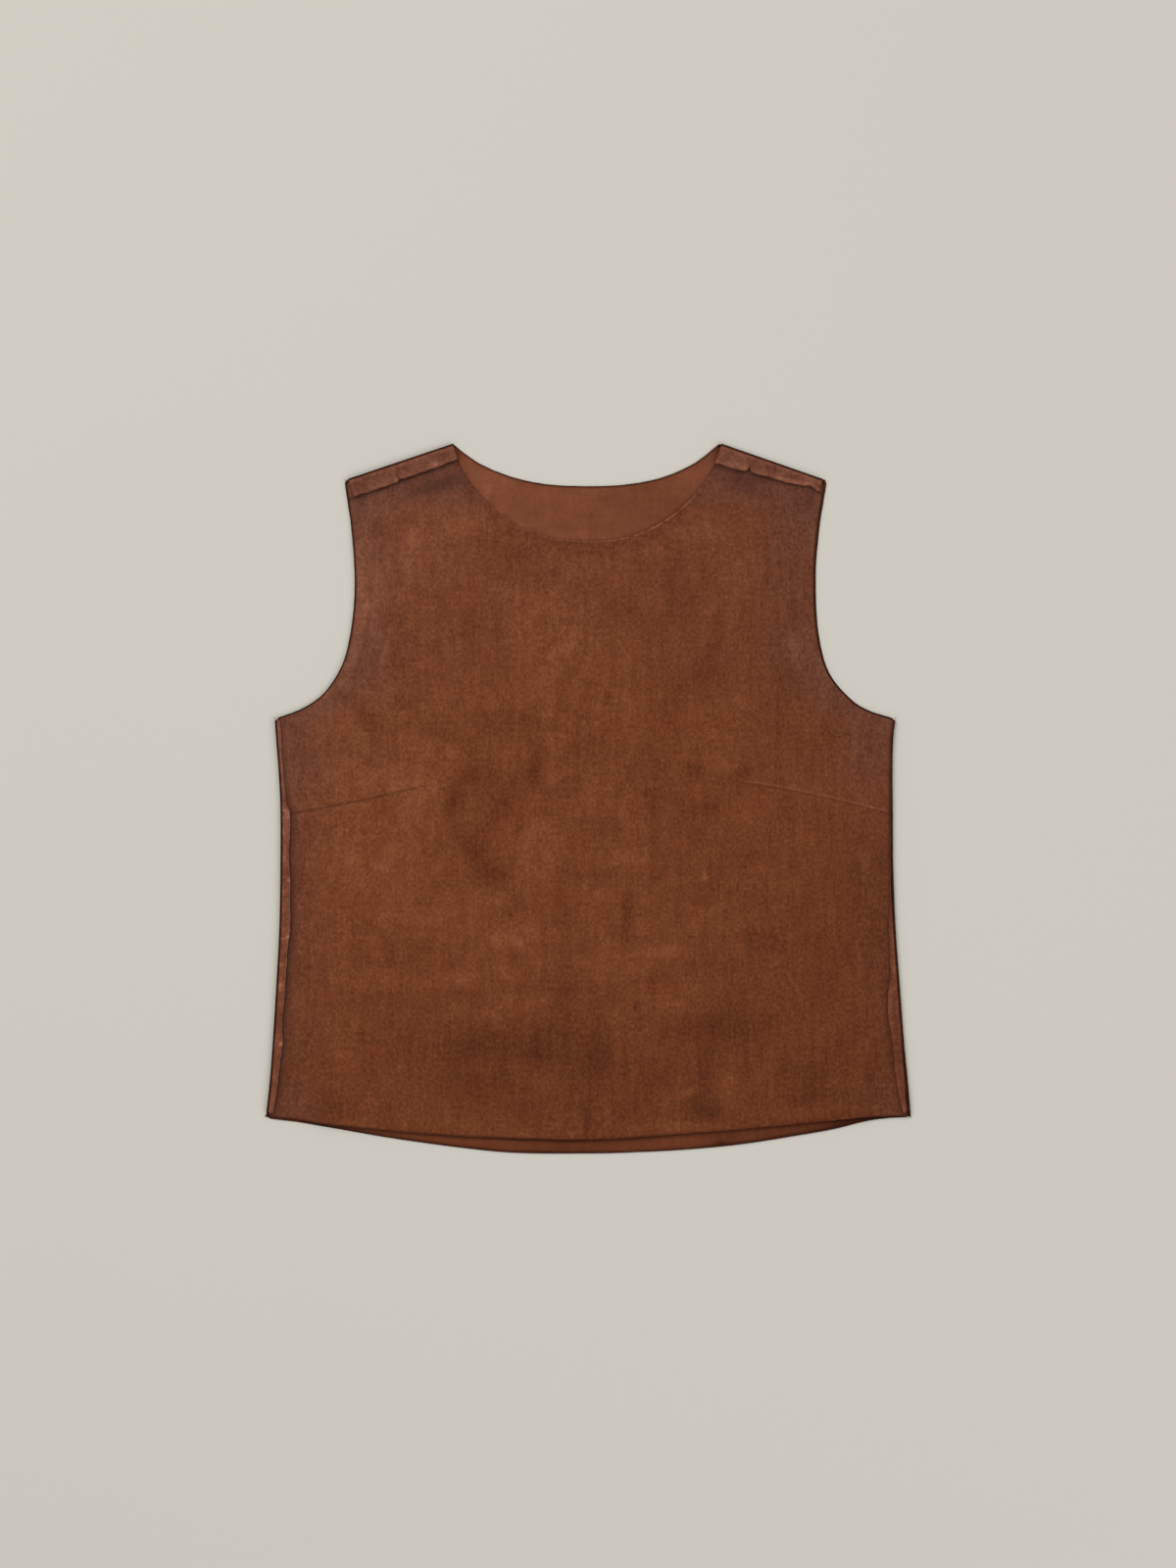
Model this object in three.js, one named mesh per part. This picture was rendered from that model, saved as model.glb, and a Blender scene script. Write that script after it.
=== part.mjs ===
import * as THREE from 'three';

// A leather vest: a pull-on sleeveless suede top, laid flat with its front panel on its back panel.
// Millimetres. Seen from above, +X is to the right and +Y runs from the hem to the neck. +Z is up.
// Left and right are as seen from above. Until the whole is centred at the end, heights along Y are
// counted from the lower ends of the side seams, and X from the centre line.

// Leather and seams
const leatherThickness = 1.2;
const seamGap = 0.3;
const foldWall = 1.1;
const foldRounding = 0.8;
const frontInset = foldWall + 0.4;
const armholeInset = 0.3;

// Levels of the layers above the floor
const backTop = leatherThickness;
const frontUnderside = backTop + seamGap;
const frontTop = frontUnderside + leatherThickness;
const stripUnderside = frontTop + seamGap;
const stripTop = stripUnderside + foldWall;

// Neck and shoulders
const neckHalfWidth = 105.8;
const neckPointHeight = 529.3;
const neckCentre = -0.6;
const backNeckDrop = 33.4;
const backNeckPower = 2.75;
const frontNeckDrop = 77.3;
const frontNeckPower = 2.3;
const frontNeckFullness = 0.72;

// Bust darts: the end of each at its side seam, its tip and how far its middle sags or rises
const darts = {
  left: { side: -1, endHeight: 237, tipX: -106, tipHeight: 265.7, bow: -1.2 },
  right: { side: 1, endHeight: 239.5, tipX: 109.5, tipHeight: 266.5, bow: 2.2 },
};
const dartGroove = { depth: 0.45, width: 2.2 };
const dartIntake = { height: 0.7, width: 11, softness: 3 };
const dartTipShare = 0.15;

// Half widths of the garment along the side seams, from the hem to the underarm
const sideSeamRows = [
  { height: 0, left: 253.3, right: 253.3 },
  { height: 28, left: 250.2, right: 251.0 },
  { height: 58, left: 247.9, right: 248.0 },
  { height: 104, left: 245.0, right: 244.5 },
  { height: 150, left: 242.6, right: 241.1 },
  { height: 197, left: 241.8, right: 239.0 },
  { height: 243, left: 241.8, right: 238.7 },
  { height: 273, left: 243.2, right: 239.0 },
  { height: 313.5, left: 246.3, right: 241.8 },
];

// Half widths along the armholes, from the underarm to the shoulder tip
const armholeRows = [
  { height: 313.5, left: 246.3, right: 241.8 },
  { height: 316, left: 238.7, right: 231.5 },
  { height: 320, left: 228.0, right: 220.0 },
  { height: 325, left: 218.5, right: 210.8 },
  { height: 332, left: 209.3, right: 203.0 },
  { height: 341, left: 201.9, right: 195.1 },
  { height: 352, left: 195.3, right: 188.2 },
  { height: 366, left: 189.8, right: 183.4 },
  { height: 384, left: 186.0, right: 180.0 },
  { height: 409.6, left: 183.4, right: 178.4 },
  { height: 437, left: 184.0, right: 178.6 },
  { height: 465, left: 186.3, right: 181.2 },
  { height: 484, left: 188.8, right: 184.1 },
  { height: 500.9, left: 191.0, right: 186.5 },
];

// Heights of the two hems across the garment
const hemRows = [
  { x: -253.3, front: 0.0, back: 0.0 },
  { x: -230, front: -1.5, back: -2.7 },
  { x: -200, front: -6.2, back: -8.5 },
  { x: -154, front: -10.8, back: -16.2 },
  { x: -104.7, front: -14.6, back: -23.1 },
  { x: -61.6, front: -16.6, back: -27.5 },
  { x: -12.3, front: -17.7, back: -28.5 },
  { x: 30.8, front: -16.6, back: -28.1 },
  { x: 77, front: -13.1, back: -25.4 },
  { x: 127, front: -9.6, back: -20.0 },
  { x: 181.7, front: -4.2, back: -10.8 },
  { x: 221.8, front: -0.6, back: -2.2 },
  { x: 253.3, front: 0.0, back: 0.0 },
];

// Turned allowances. Along runs from 0 to 1: from the shoulder tip to the neck, or from the hem to
// the underarm. Width is across the strip, and lift is how far its raw edge stands up.
const shoulderLeftRows = [
  { along: 0.03, width: 14.0, lift: 0.1 },
  { along: 0.25, width: 13.9, lift: 0.4 },
  { along: 0.46, width: 13.4, lift: 0.7 },
  { along: 0.485, width: 10.6, lift: 0.7 },
  { along: 0.53, width: 13.7, lift: 0.9 },
  { along: 0.8, width: 13.0, lift: 0.5 },
  { along: 1, width: 11.8, lift: 0.2 },
];
const shoulderRightRows = [
  { along: 0.02, width: 10.2, lift: 0.0 },
  { along: 0.1, width: 9.3, lift: 0.3 },
  { along: 0.2, width: 10.5, lift: 0.8 },
  { along: 0.45, width: 12.2, lift: 1.1 },
  { along: 0.705, width: 13.6, lift: 0.9 },
  { along: 0.725, width: 9.6, lift: 0.6 },
  { along: 0.76, width: 13.6, lift: 0.8 },
  { along: 1, width: 15.0, lift: 0.3 },
];
const sideLeftRows = [
  { along: 0.012, width: 6.9, lift: 0.2 },
  { along: 0.15, width: 6.8, lift: 0.5 },
  { along: 0.24, width: 7.4, lift: 0.3 },
  { along: 0.4, width: 7.2, lift: 0.2 },
  { along: 0.46, width: 8.1, lift: 0.6 },
  { along: 0.6, width: 7.8, lift: 0.4 },
  { along: 0.74, width: 6.0, lift: 0.2 },
  { along: 0.77, width: 7.0, lift: 0.3 },
  { along: 0.84, width: 4.1, lift: 0.1 },
  { along: 0.995, width: 4.6, lift: 0.0 },
];
const sideRightRows = [
  { along: 0.012, width: 7.2, lift: 0.2 },
  { along: 0.05, width: 8.9, lift: 0.5 },
  { along: 0.19, width: 8.6, lift: 0.6 },
  { along: 0.25, width: 10.8, lift: 0.8 },
  { along: 0.36, width: 8.5, lift: 0.5 },
  { along: 0.48, width: 5.4, lift: 0.2 },
  { along: 0.6, width: 2.9, lift: 0.0 },
  { along: 0.995, width: 2.4, lift: 0.0 },
];

// Soft creases of the front panel: a negative height is a trough. Turn is in degrees from +X, and
// length and width are where the crease has fallen to a seventh of its height.
const creases = [
  { x: -171, y: 402, turn: 92, length: 72, width: 10, height: 0.8 },
  { x: -160, y: 410, turn: 94, length: 58, width: 9, height: -0.6 },
  { x: -150, y: 358, turn: 64, length: 38, width: 9, height: 0.8 },
  { x: -140, y: 344, turn: 70, length: 42, width: 10, height: -0.5 },
  { x: -86, y: 238, turn: 104, length: 44, width: 17, height: -0.9 },
  { x: -66, y: 200, turn: 58, length: 40, width: 15, height: -0.8 },
  { x: 120, y: 276, turn: 22, length: 26, width: 9, height: -0.7 },
  { x: -8, y: 340, turn: 91, length: 120, width: 26, height: 1.0 },
  { x: 46, y: 262, turn: 76, length: 66, width: 22, height: 0.7 },
  { x: 158, y: 370, turn: 101, length: 62, width: 14, height: 0.6 },
  { x: 150, y: 112, turn: 97, length: 86, width: 22, height: 0.9 },
  { x: 90, y: 40, turn: 28, length: 44, width: 12, height: 0.7 },
  { x: -150, y: 52, turn: 12, length: 74, width: 19, height: 0.8 },
  { x: -28, y: 66, turn: 172, length: 88, width: 23, height: -0.7 },
  { x: -178, y: 168, turn: 86, length: 78, width: 16, height: 0.6 },
];

const creaseFall = 2;

// Away from its seams the front stands a little off the back. The crown is the level that the
// creases dip from or rise above. The neck edge stands up evenly and the hem in uneven waves.
const crown = 1.3;
const neckLift = { height: 0.7, reach: 26 };
const hemLift = { base: 0.35, reach: 42 };
const hemWaves = [
  { span: 171, start: 0.9, height: 0.35 },
  { span: 97, start: 2.1, height: 0.3 },
  { span: 59, start: 4.0, height: 0.15 },
];
const flatBand = { side: 15, shoulder: 20, softness: 26 };

// The front is divided into blocks of rows and columns. The outer columns end on the lower stretch
// of an armhole, the next ones on a shoulder and the middle ones on the neckline.
const columns = { underarm: 3, shoulder: 6, neck: 14 };
const rows = { skirt: 15, side: 5, chest: 11, strap: 4 };
const chestHeight = 335;
const yokeHeight = 468;
const neckStrapShare = 0.235;
const dartRowSpacing = 3;
const stripSteps = { shoulder: 18, side: 26 };
const outlineSteps = { seam: 10, armhole: 22, neck: 28, hem: 28 };

// Helpers

const plane = (x, y) => new THREE.Vector2(x, y);

const signOf = (side) => (side === 'left' ? -1 : 1);

function tableValue(table, key, column, at) {
  const next = table.findIndex((row) => row[key] >= at);
  if (next === 0) return table[0][column];
  if (next < 0) return table[table.length - 1][column];
  const low = table[next - 1];
  const high = table[next];
  const share = (at - low[key]) / (high[key] - low[key]);
  return THREE.MathUtils.lerp(low[column], high[column], share);
}

function splineThrough(table, side) {
  return new THREE.SplineCurve(table.map((row) => plane(signOf(side) * row[side], row.height)));
}

// The curves of the outline

const seamCurve = {
  left: splineThrough(sideSeamRows, 'left'),
  right: splineThrough(sideSeamRows, 'right'),
};
const armholeCurve = {
  left: splineThrough(armholeRows, 'left'),
  right: splineThrough(armholeRows, 'right'),
};
const hemCurve = {
  front: new THREE.SplineCurve(hemRows.map((row) => plane(row.x, row.front))),
  back: new THREE.SplineCurve(hemRows.map((row) => plane(row.x, row.back))),
};

function shoulderTip(side) {
  return armholeCurve[side].getPoint(1);
}

function neckPoint(side) {
  return plane(neckCentre + signOf(side) * neckHalfWidth, neckPointHeight);
}

const shoulderLine = {
  left: new THREE.LineCurve(shoulderTip('left'), neckPoint('left')),
  right: new THREE.LineCurve(shoulderTip('right'), neckPoint('right')),
};

// Share runs along a neckline from its left point to its right one
function neckline(share, drop, shape) {
  const across = -Math.cos(Math.PI * share);
  const depth = drop * shape(Math.min(Math.abs(across), 1));
  return plane(neckCentre + across * neckHalfWidth, neckPointHeight - depth);
}

const backNeck = (share) => neckline(share, backNeckDrop, (t) => 1 - t ** backNeckPower);

const frontNeck = (share) =>
  neckline(share, frontNeckDrop, (t) => (1 - t ** frontNeckPower) ** frontNeckFullness);

// The share of a curve's length at which its points first reach what is asked, by halving
const halvings = 30;

function shareWhere(curve, reached) {
  let low = 0;
  let high = 1;
  for (let step = 0; step < halvings; step += 1) {
    const middle = (low + high) / 2;
    if (reached(curve.getPointAt(middle))) high = middle;
    else low = middle;
  }
  return (low + high) / 2;
}

const shareAtHeight = (curve, height) => shareWhere(curve, (point) => point.y >= height);

const curveHeight = (curve, x) => curve.getPointAt(shareWhere(curve, (point) => point.x >= x)).y;

function halfWidthAt(side, height) {
  const table = height < sideSeamRows[sideSeamRows.length - 1].height ? sideSeamRows : armholeRows;
  return tableValue(table, 'height', side, height);
}

// The relief of the front panel above its lowest level

function creaseRelief(x, y) {
  return creases.reduce((sum, crease) => {
    const turn = THREE.MathUtils.degToRad(crease.turn);
    const dx = x - crease.x;
    const dy = y - crease.y;
    const along = (dx * Math.cos(turn) + dy * Math.sin(turn)) / crease.length;
    const across = (dy * Math.cos(turn) - dx * Math.sin(turn)) / crease.width;
    return sum + crease.height * Math.exp(-creaseFall * (along * along + across * across));
  }, 0);
}

function dartPoint(dart, share) {
  const endX = dart.side * (halfWidthAt(dart.side < 0 ? 'left' : 'right', dart.endHeight) - frontInset);
  const bow = dart.bow * Math.sin(Math.PI * share);
  return plane(
    THREE.MathUtils.lerp(endX, dart.tipX, share),
    THREE.MathUtils.lerp(dart.endHeight, dart.tipHeight, share) + bow,
  );
}

// A groove along the stitched line, and under it the intake, pressed down and tapering to the tip
function dartRelief(x, y) {
  const dart = x < 0 ? darts.left : darts.right;
  const end = dartPoint(dart, 0).x;
  const share = (x - end) / (dart.tipX - end);
  if (share < 0 || share > 1) return 0;
  const above = y - dartPoint(dart, share).y;
  const groove = -dartGroove.depth * Math.exp(-((above / dartGroove.width) ** 2));
  const reach = dartIntake.width * (1 - share) + dartIntake.softness;
  const intake = dartIntake.height * THREE.MathUtils.smoothstep(above + reach, 0, dartIntake.softness);
  const fade = THREE.MathUtils.smoothstep(1 - share, 0, dartTipShare);
  return fade * (groove + (above < 0 ? intake : 0));
}

function edgeRelief(x, y) {
  const hemHeight = tableValue(hemRows, 'x', 'front', x);
  const wave = hemWaves.reduce(
    (sum, part) => sum + part.height * Math.sin((2 * Math.PI * x) / part.span + part.start),
    hemLift.base,
  );
  const hem = Math.max(wave, 0) * (1 - THREE.MathUtils.smoothstep(y - hemHeight, 0, hemLift.reach));
  const across = Math.min(Math.abs(x - neckCentre) / neckHalfWidth, 1);
  const scoop = frontNeckDrop * (1 - across ** frontNeckPower) ** frontNeckFullness;
  const below = neckPointHeight - scoop - y;
  const neck = neckLift.height * (1 - THREE.MathUtils.smoothstep(below, 0, neckLift.reach));
  return hem + (across < 1 ? neck : 0);
}

// The panel lies flat in a band beside each seam, where the turned allowances rest on it
function flatShare(x, y) {
  const side = x < 0 ? 'left' : 'right';
  const fromSide = halfWidthAt(side, y) - Math.abs(x);
  const tip = shoulderTip(side);
  const neck = neckPoint(side);
  const slope = (neck.y - tip.y) / (neck.x - tip.x);
  const fromShoulder = tip.y + slope * (x - tip.x) - y;
  const bandEnd = (band) => band + flatBand.softness;
  return (
    THREE.MathUtils.smoothstep(fromSide, flatBand.side, bandEnd(flatBand.side)) *
    THREE.MathUtils.smoothstep(fromShoulder, flatBand.shoulder, bandEnd(flatBand.shoulder))
  );
}

function frontRelief(x, y) {
  const relief = crown + creaseRelief(x, y) + dartRelief(x, y) + edgeRelief(x, y);
  return Math.max(relief, 0) * flatShare(x, y);
}

// Closed walls

function geometryFrom(points, faces) {
  const geometry = new THREE.BufferGeometry();
  geometry.setAttribute('position', new THREE.Float32BufferAttribute(points.flat(), 3));
  geometry.setIndex(faces.flat());
  geometry.computeVertexNormals();
  return geometry;
}

// A wall of even thickness over blocks of underside points, which share the points where they meet
function wallOverBlocks(blocks, levelAt, thickness) {
  const ids = new Map();
  const idOf = (point) => {
    if (!ids.has(point)) ids.set(point, ids.size);
    return ids.get(point);
  };
  const upper = [];
  const free = new Map();
  const addTriangle = (...corners) => {
    upper.push(corners);
    corners.forEach((from, n) => {
      const to = corners[(n + 1) % corners.length];
      if (!free.delete(`${to} ${from}`)) free.set(`${from} ${to}`, [from, to]);
    });
  };
  blocks.forEach((block) => {
    for (let j = 1; j < block.length; j += 1) {
      for (let i = 1; i < block[j].length; i += 1) {
        const a = idOf(block[j - 1][i - 1]);
        const b = idOf(block[j - 1][i]);
        const c = idOf(block[j][i]);
        const d = idOf(block[j][i - 1]);
        addTriangle(a, b, c);
        addTriangle(a, c, d);
      }
    }
  });
  const under = [...ids.keys()].map(({ x, y }) => [x, y, levelAt(x, y)]);
  const over = under.map(([x, y, z]) => [x, y, z + thickness]);
  const count = under.length;
  const rim = [...free.values()].flatMap(([from, to]) => [
    [from, to, count + to],
    [from, count + to, count + from],
  ]);
  const faces = [
    ...upper.map((corners) => corners.map((id) => count + id)),
    ...upper.map(([a, b, c]) => [c, b, a]),
    ...rim,
  ];
  return geometryFrom([...under, ...over], faces);
}

// A solid through rings of points. Each end is closed by a fan round the section's inner corner.
function solidThroughRings(rings, corner) {
  const size = rings[0].length;
  const last = (rings.length - 1) * size;
  const faces = [];
  for (let i = 0; i < size; i += 1) {
    const next = (i + 1) % size;
    for (let a = 0; a < last; a += size) {
      faces.push([a + i, a + next, a + size + next], [a + i, a + size + next, a + size + i]);
    }
    if (i !== corner && next !== corner) {
      faces.push([corner, next, i], [last + corner, last + i, last + next]);
    }
  }
  return geometryFrom(rings.flat(), faces);
}

// The direction into the cloth, square to an edge that runs from the hem up to the neck
function inwardAt(curve, share, side) {
  const tangent = curve.getTangentAt(share);
  return plane(tangent.y, -tangent.x).multiplyScalar(-signOf(side));
}

function insetPoint(curve, share, side, inset) {
  return curve.getPointAt(share).addScaledVector(inwardAt(curve, share, side), inset);
}

// The back panel: a flat wall with the whole outline of the garment

function backPanel() {
  const sampled = (curve, steps) => curve.getSpacedPoints(steps).slice(0, -1);
  const edge = (side) => [
    ...sampled(seamCurve[side], outlineSteps.seam),
    ...sampled(armholeCurve[side], outlineSteps.armhole),
    shoulderTip(side),
  ];
  const neck = [];
  for (let i = 0; i <= outlineSteps.neck; i += 1) neck.push(backNeck(1 - i / outlineSteps.neck));
  const hem = sampled(hemCurve.back, outlineSteps.hem).slice(1);
  const outline = [...hem, ...edge('right'), ...neck, ...edge('left').reverse()];
  return new THREE.ExtrudeGeometry(new THREE.Shape(outline), {
    depth: leatherThickness,
    bevelEnabled: false,
  });
}

// The front panel: a skirt up to the darts, the sides up to the underarms, the chest, two straps

function meeting(side, first, firstShare, second, secondShare) {
  const insetOf = (curve) => (curve === armholeCurve[side] ? armholeInset : frontInset);
  return insetPoint(first, firstShare, side, insetOf(first))
    .addScaledVector(inwardAt(second, secondShare, side), insetOf(second));
}

const between = (start, end, count) =>
  Array.from({ length: count - 1 }, (_, n) => THREE.MathUtils.lerp(start, end, (n + 1) / count));

const straight = (start, end, count) =>
  between(0, 1, count).map((share) => start.clone().lerp(end, share));

// The named points and inner edge points of one side of the front
function frontSide(side) {
  const seam = seamCurve[side];
  const armhole = armholeCurve[side];
  const line = shoulderLine[side];
  const onSeam = (share) => insetPoint(seam, share, side, frontInset);
  const onArmhole = (share) => insetPoint(armhole, share, side, armholeInset);
  const onNeck = (share) => frontNeck(side === 'left' ? share : 1 - share);
  const dartShare = shareAtHeight(seam, darts[side].endHeight);
  const beside = dartRowSpacing / seam.getLength();
  const chestShare = shareAtHeight(armhole, chestHeight);
  const yokeShare = shareAtHeight(armhole, yokeHeight);
  const neck = insetPoint(line, 1, side, frontInset);
  const tip = meeting(side, line, 0, armhole, 1);
  return {
    hem: onSeam(0),
    skirt: [...between(0, dartShare - beside, rows.skirt), dartShare - beside].map(onSeam),
    dart: dartPoint(darts[side], 0),
    side: [dartShare + beside, ...between(dartShare + beside, 1, rows.side)].map(onSeam),
    underarm: meeting(side, seam, 1, armhole, 0),
    underarmEdge: between(0, chestShare, columns.underarm).map(onArmhole),
    chest: onArmhole(chestShare),
    chestEdge: between(chestShare, yokeShare, rows.chest).map(onArmhole),
    yoke: onArmhole(yokeShare),
    strapEdge: between(yokeShare, 1, rows.strap).map(onArmhole),
    tip,
    shoulder: straight(tip, neck, columns.shoulder),
    neck,
    neckEdge: between(neckStrapShare, 0, rows.strap).map(onNeck),
    neckFoot: onNeck(neckStrapShare),
  };
}

// Points between four edges that share their corners, blended from the edges
function block(low, high, leftInner, rightInner) {
  const left = [low[0], ...leftInner, high[0]];
  const right = [low[low.length - 1], ...rightInner, high[high.length - 1]];
  const last = { i: low.length - 1, j: left.length - 1 };
  return left.map((_, j) =>
    low.map((_point, i) => {
      if (j === 0) return low[i];
      if (j === last.j) return high[i];
      if (i === 0) return left[j];
      if (i === last.i) return right[j];
      const u = i / last.i;
      const v = j / last.j;
      const onCorners = (row) => row[0].clone().lerp(row[last.i], u);
      return left[j]
        .clone()
        .lerp(right[j], u)
        .add(low[i].clone().lerp(high[i], v))
        .sub(onCorners(low).lerp(onCorners(high), v));
    }),
  );
}

function frontPanel() {
  const left = frontSide('left');
  const right = frontSide('right');
  const outer = columns.underarm + columns.shoulder;
  const hemX = between(left.hem.x, right.hem.x, 2 * outer + columns.neck);
  const hemRow = [left.hem, ...hemX.map((x) => plane(x, curveHeight(hemCurve.front, x))), right.hem];
  const onDart = (side, share) => dartPoint(darts[side], share);
  const dartRow = [
    left.dart,
    ...between(0, 1, outer).map((share) => onDart('left', share)),
    onDart('left', 1),
    ...straight(onDart('left', 1), onDart('right', 1), columns.neck),
    onDart('right', 1),
    ...between(1, 0, outer).map((share) => onDart('right', share)),
    right.dart,
  ];
  const chestLine = straight(left.chest, right.chest, 2 * columns.shoulder + columns.neck);
  const chestRow = [left.chest, ...chestLine, right.chest];
  const underarmRow = [
    left.underarm,
    ...left.underarmEdge,
    ...chestRow,
    ...right.underarmEdge.toReversed(),
    right.underarm,
  ];
  const leftYoke = [left.yoke, ...straight(left.yoke, left.neckFoot, columns.shoulder), left.neckFoot];
  const rightYoke = [
    right.neckFoot,
    ...straight(right.neckFoot, right.yoke, columns.shoulder),
    right.yoke,
  ];
  const scoop = between(neckStrapShare, 1 - neckStrapShare, columns.neck).map(frontNeck);
  const leftShoulder = [left.tip, ...left.shoulder, left.neck];
  const rightShoulder = [right.neck, ...right.shoulder.toReversed(), right.tip];
  const blocks = [
    block(hemRow, dartRow, left.skirt, right.skirt),
    block(dartRow, underarmRow, left.side, right.side),
    block(chestRow, [...leftYoke, ...scoop, ...rightYoke], left.chestEdge, right.chestEdge),
    block(leftYoke, leftShoulder, left.strapEdge, left.neckEdge),
    block(rightYoke, rightShoulder, right.neckEdge, right.strapEdge),
  ];
  return wallOverBlocks(blocks, (x, y) => frontUnderside + frontRelief(x, y), leatherThickness);
}

// A turned allowance: it stands on the back's rim, bends over the front's edge and lies on the front

function stripShares(table, steps) {
  const first = table[0].along;
  const last = table[table.length - 1].along;
  const shares = table.map((row) => row.along);
  for (let n = 1; n < steps; n += 1) shares.push(THREE.MathUtils.lerp(first, last, n / steps));
  const closest = (last - first) / (4 * steps);
  return shares
    .sort((a, b) => a - b)
    .filter((share, n, all) => n === 0 || share - all[n - 1] > closest);
}

const cornerOfFold = 6;

function stripSection(width, lift) {
  const corner = foldRounding * (1 - Math.SQRT1_2);
  return [
    [0, frontUnderside],
    [0, stripTop - foldRounding],
    [corner, stripTop - corner],
    [foldRounding, stripTop],
    [width, stripTop + lift],
    [width, stripUnderside + lift],
    [foldWall, stripUnderside],
    [foldWall, frontUnderside],
  ];
}

function turnedAllowance(curve, side, table, steps) {
  const rings = stripShares(table, steps).map((share) => {
    const edge = curve.getPointAt(share);
    const inward = inwardAt(curve, share, side);
    const width = tableValue(table, 'along', 'width', share);
    const lift = tableValue(table, 'along', 'lift', share);
    const ring = stripSection(width, lift).map(([across, z]) => [
      edge.x + inward.x * across,
      edge.y + inward.y * across,
      z,
    ]);
    return side === 'left' ? ring : ring.reverse();
  });
  return solidThroughRings(rings, side === 'left' ? cornerOfFold : rings[0].length - 1 - cornerOfFold);
}

// The garment

function piece(name, geometry, colour) {
  const material = new THREE.MeshStandardMaterial({ color: colour, roughness: 0.92, metalness: 0 });
  const mesh = new THREE.Mesh(geometry, material);
  mesh.name = name;
  return mesh;
}

const suedeOutside = 0x73402a;
const suedeInside = 0x7a4630;

const vest = new THREE.Group();
vest.add(
  piece('back_panel', backPanel(), suedeInside),
  piece('front_panel', frontPanel(), suedeOutside),
);
['left', 'right'].forEach((side) => {
  const shoulderRows = side === 'left' ? shoulderLeftRows : shoulderRightRows;
  const sideRows = side === 'left' ? sideLeftRows : sideRightRows;
  vest.add(
    piece(
      `shoulder_allowance_${side}`,
      turnedAllowance(shoulderLine[side], side, shoulderRows, stripSteps.shoulder),
      suedeInside,
    ),
    piece(
      `side_allowance_${side}`,
      turnedAllowance(seamCurve[side], side, sideRows, stripSteps.side),
      suedeInside,
    ),
  );
});

// The origin is on the floor, in the middle of the garment's footprint
const footprint = new THREE.Box3().setFromObject(vest).getCenter(new THREE.Vector3());
vest.position.set(-footprint.x, -footprint.y, 0);

const garment = new THREE.Group();
garment.add(vest);

export default garment;
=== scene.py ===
import math

import bpy
import numpy as np
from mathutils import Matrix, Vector


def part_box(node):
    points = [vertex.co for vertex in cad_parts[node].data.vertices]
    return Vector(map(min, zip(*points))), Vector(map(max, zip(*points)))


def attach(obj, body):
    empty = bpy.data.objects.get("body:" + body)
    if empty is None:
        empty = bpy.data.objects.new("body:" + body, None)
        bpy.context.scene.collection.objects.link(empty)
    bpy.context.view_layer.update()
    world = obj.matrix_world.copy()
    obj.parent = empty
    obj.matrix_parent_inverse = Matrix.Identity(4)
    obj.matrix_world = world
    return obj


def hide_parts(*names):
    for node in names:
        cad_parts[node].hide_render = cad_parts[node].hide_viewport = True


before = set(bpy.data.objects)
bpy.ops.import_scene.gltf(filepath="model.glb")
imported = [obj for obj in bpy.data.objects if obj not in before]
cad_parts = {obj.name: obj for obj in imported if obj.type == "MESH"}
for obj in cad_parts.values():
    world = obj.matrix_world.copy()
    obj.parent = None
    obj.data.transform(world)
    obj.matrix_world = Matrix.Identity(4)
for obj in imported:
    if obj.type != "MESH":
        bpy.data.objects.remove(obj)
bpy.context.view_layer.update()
scene = bpy.context.scene
mm = 0.001

# The vest lies on its back on the floor. The tables are in millimetres, with heights counted from
# the lower ends of the side seams, as in the pattern, and are moved to the frame at the end.
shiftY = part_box("back_panel")[1][1] / mm - 529.3

# camera and light

view = {
    "height": 2.404,
    "middle": (0.0, 0.01143),
    "lens": 70.13,
}
cameraData = bpy.data.cameras.new("camera")
cameraData.lens = view["lens"]
cameraData.sensor_width = 36
cameraData.clip_end = 50
camera = bpy.data.objects.new("camera", cameraData)
camera.location = (*view["middle"], view["height"])
scene.collection.objects.link(camera)
scene.camera = camera

scene.view_settings.view_transform = "Standard"
scene.view_settings.look = "None"

lights = [
    {"name": "keyLight", "place": (-1.7, 1.9, 3.7), "size": 3.0, "watts": 116, "colour": (1, 0.98, 0.95)},
    {"name": "fillLight", "place": (2.2, -1.6, 3.0), "size": 3.2, "watts": 60, "colour": (0.98, 0.99, 1)},
]
for light in lights:
    data = bpy.data.lights.new(light["name"], "AREA")
    data.size = light["size"]
    data.energy = light["watts"]
    data.color = light["colour"]
    lamp = bpy.data.objects.new(light["name"], data)
    lamp.location = light["place"]
    lamp.rotation_euler = (-Vector(light["place"])).to_track_quat("-Z", "Y").to_euler()
    scene.collection.objects.link(lamp)

studio = {"colour": (1, 0.985, 0.96, 1), "strength": 0.4}
world = bpy.data.worlds.new("studio")
world.use_nodes = True
world.node_tree.nodes["Background"].inputs["Color"].default_value = studio["colour"]
world.node_tree.nodes["Background"].inputs["Strength"].default_value = studio["strength"]
scene.world = world
print("camera and light set")

# outline

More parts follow.
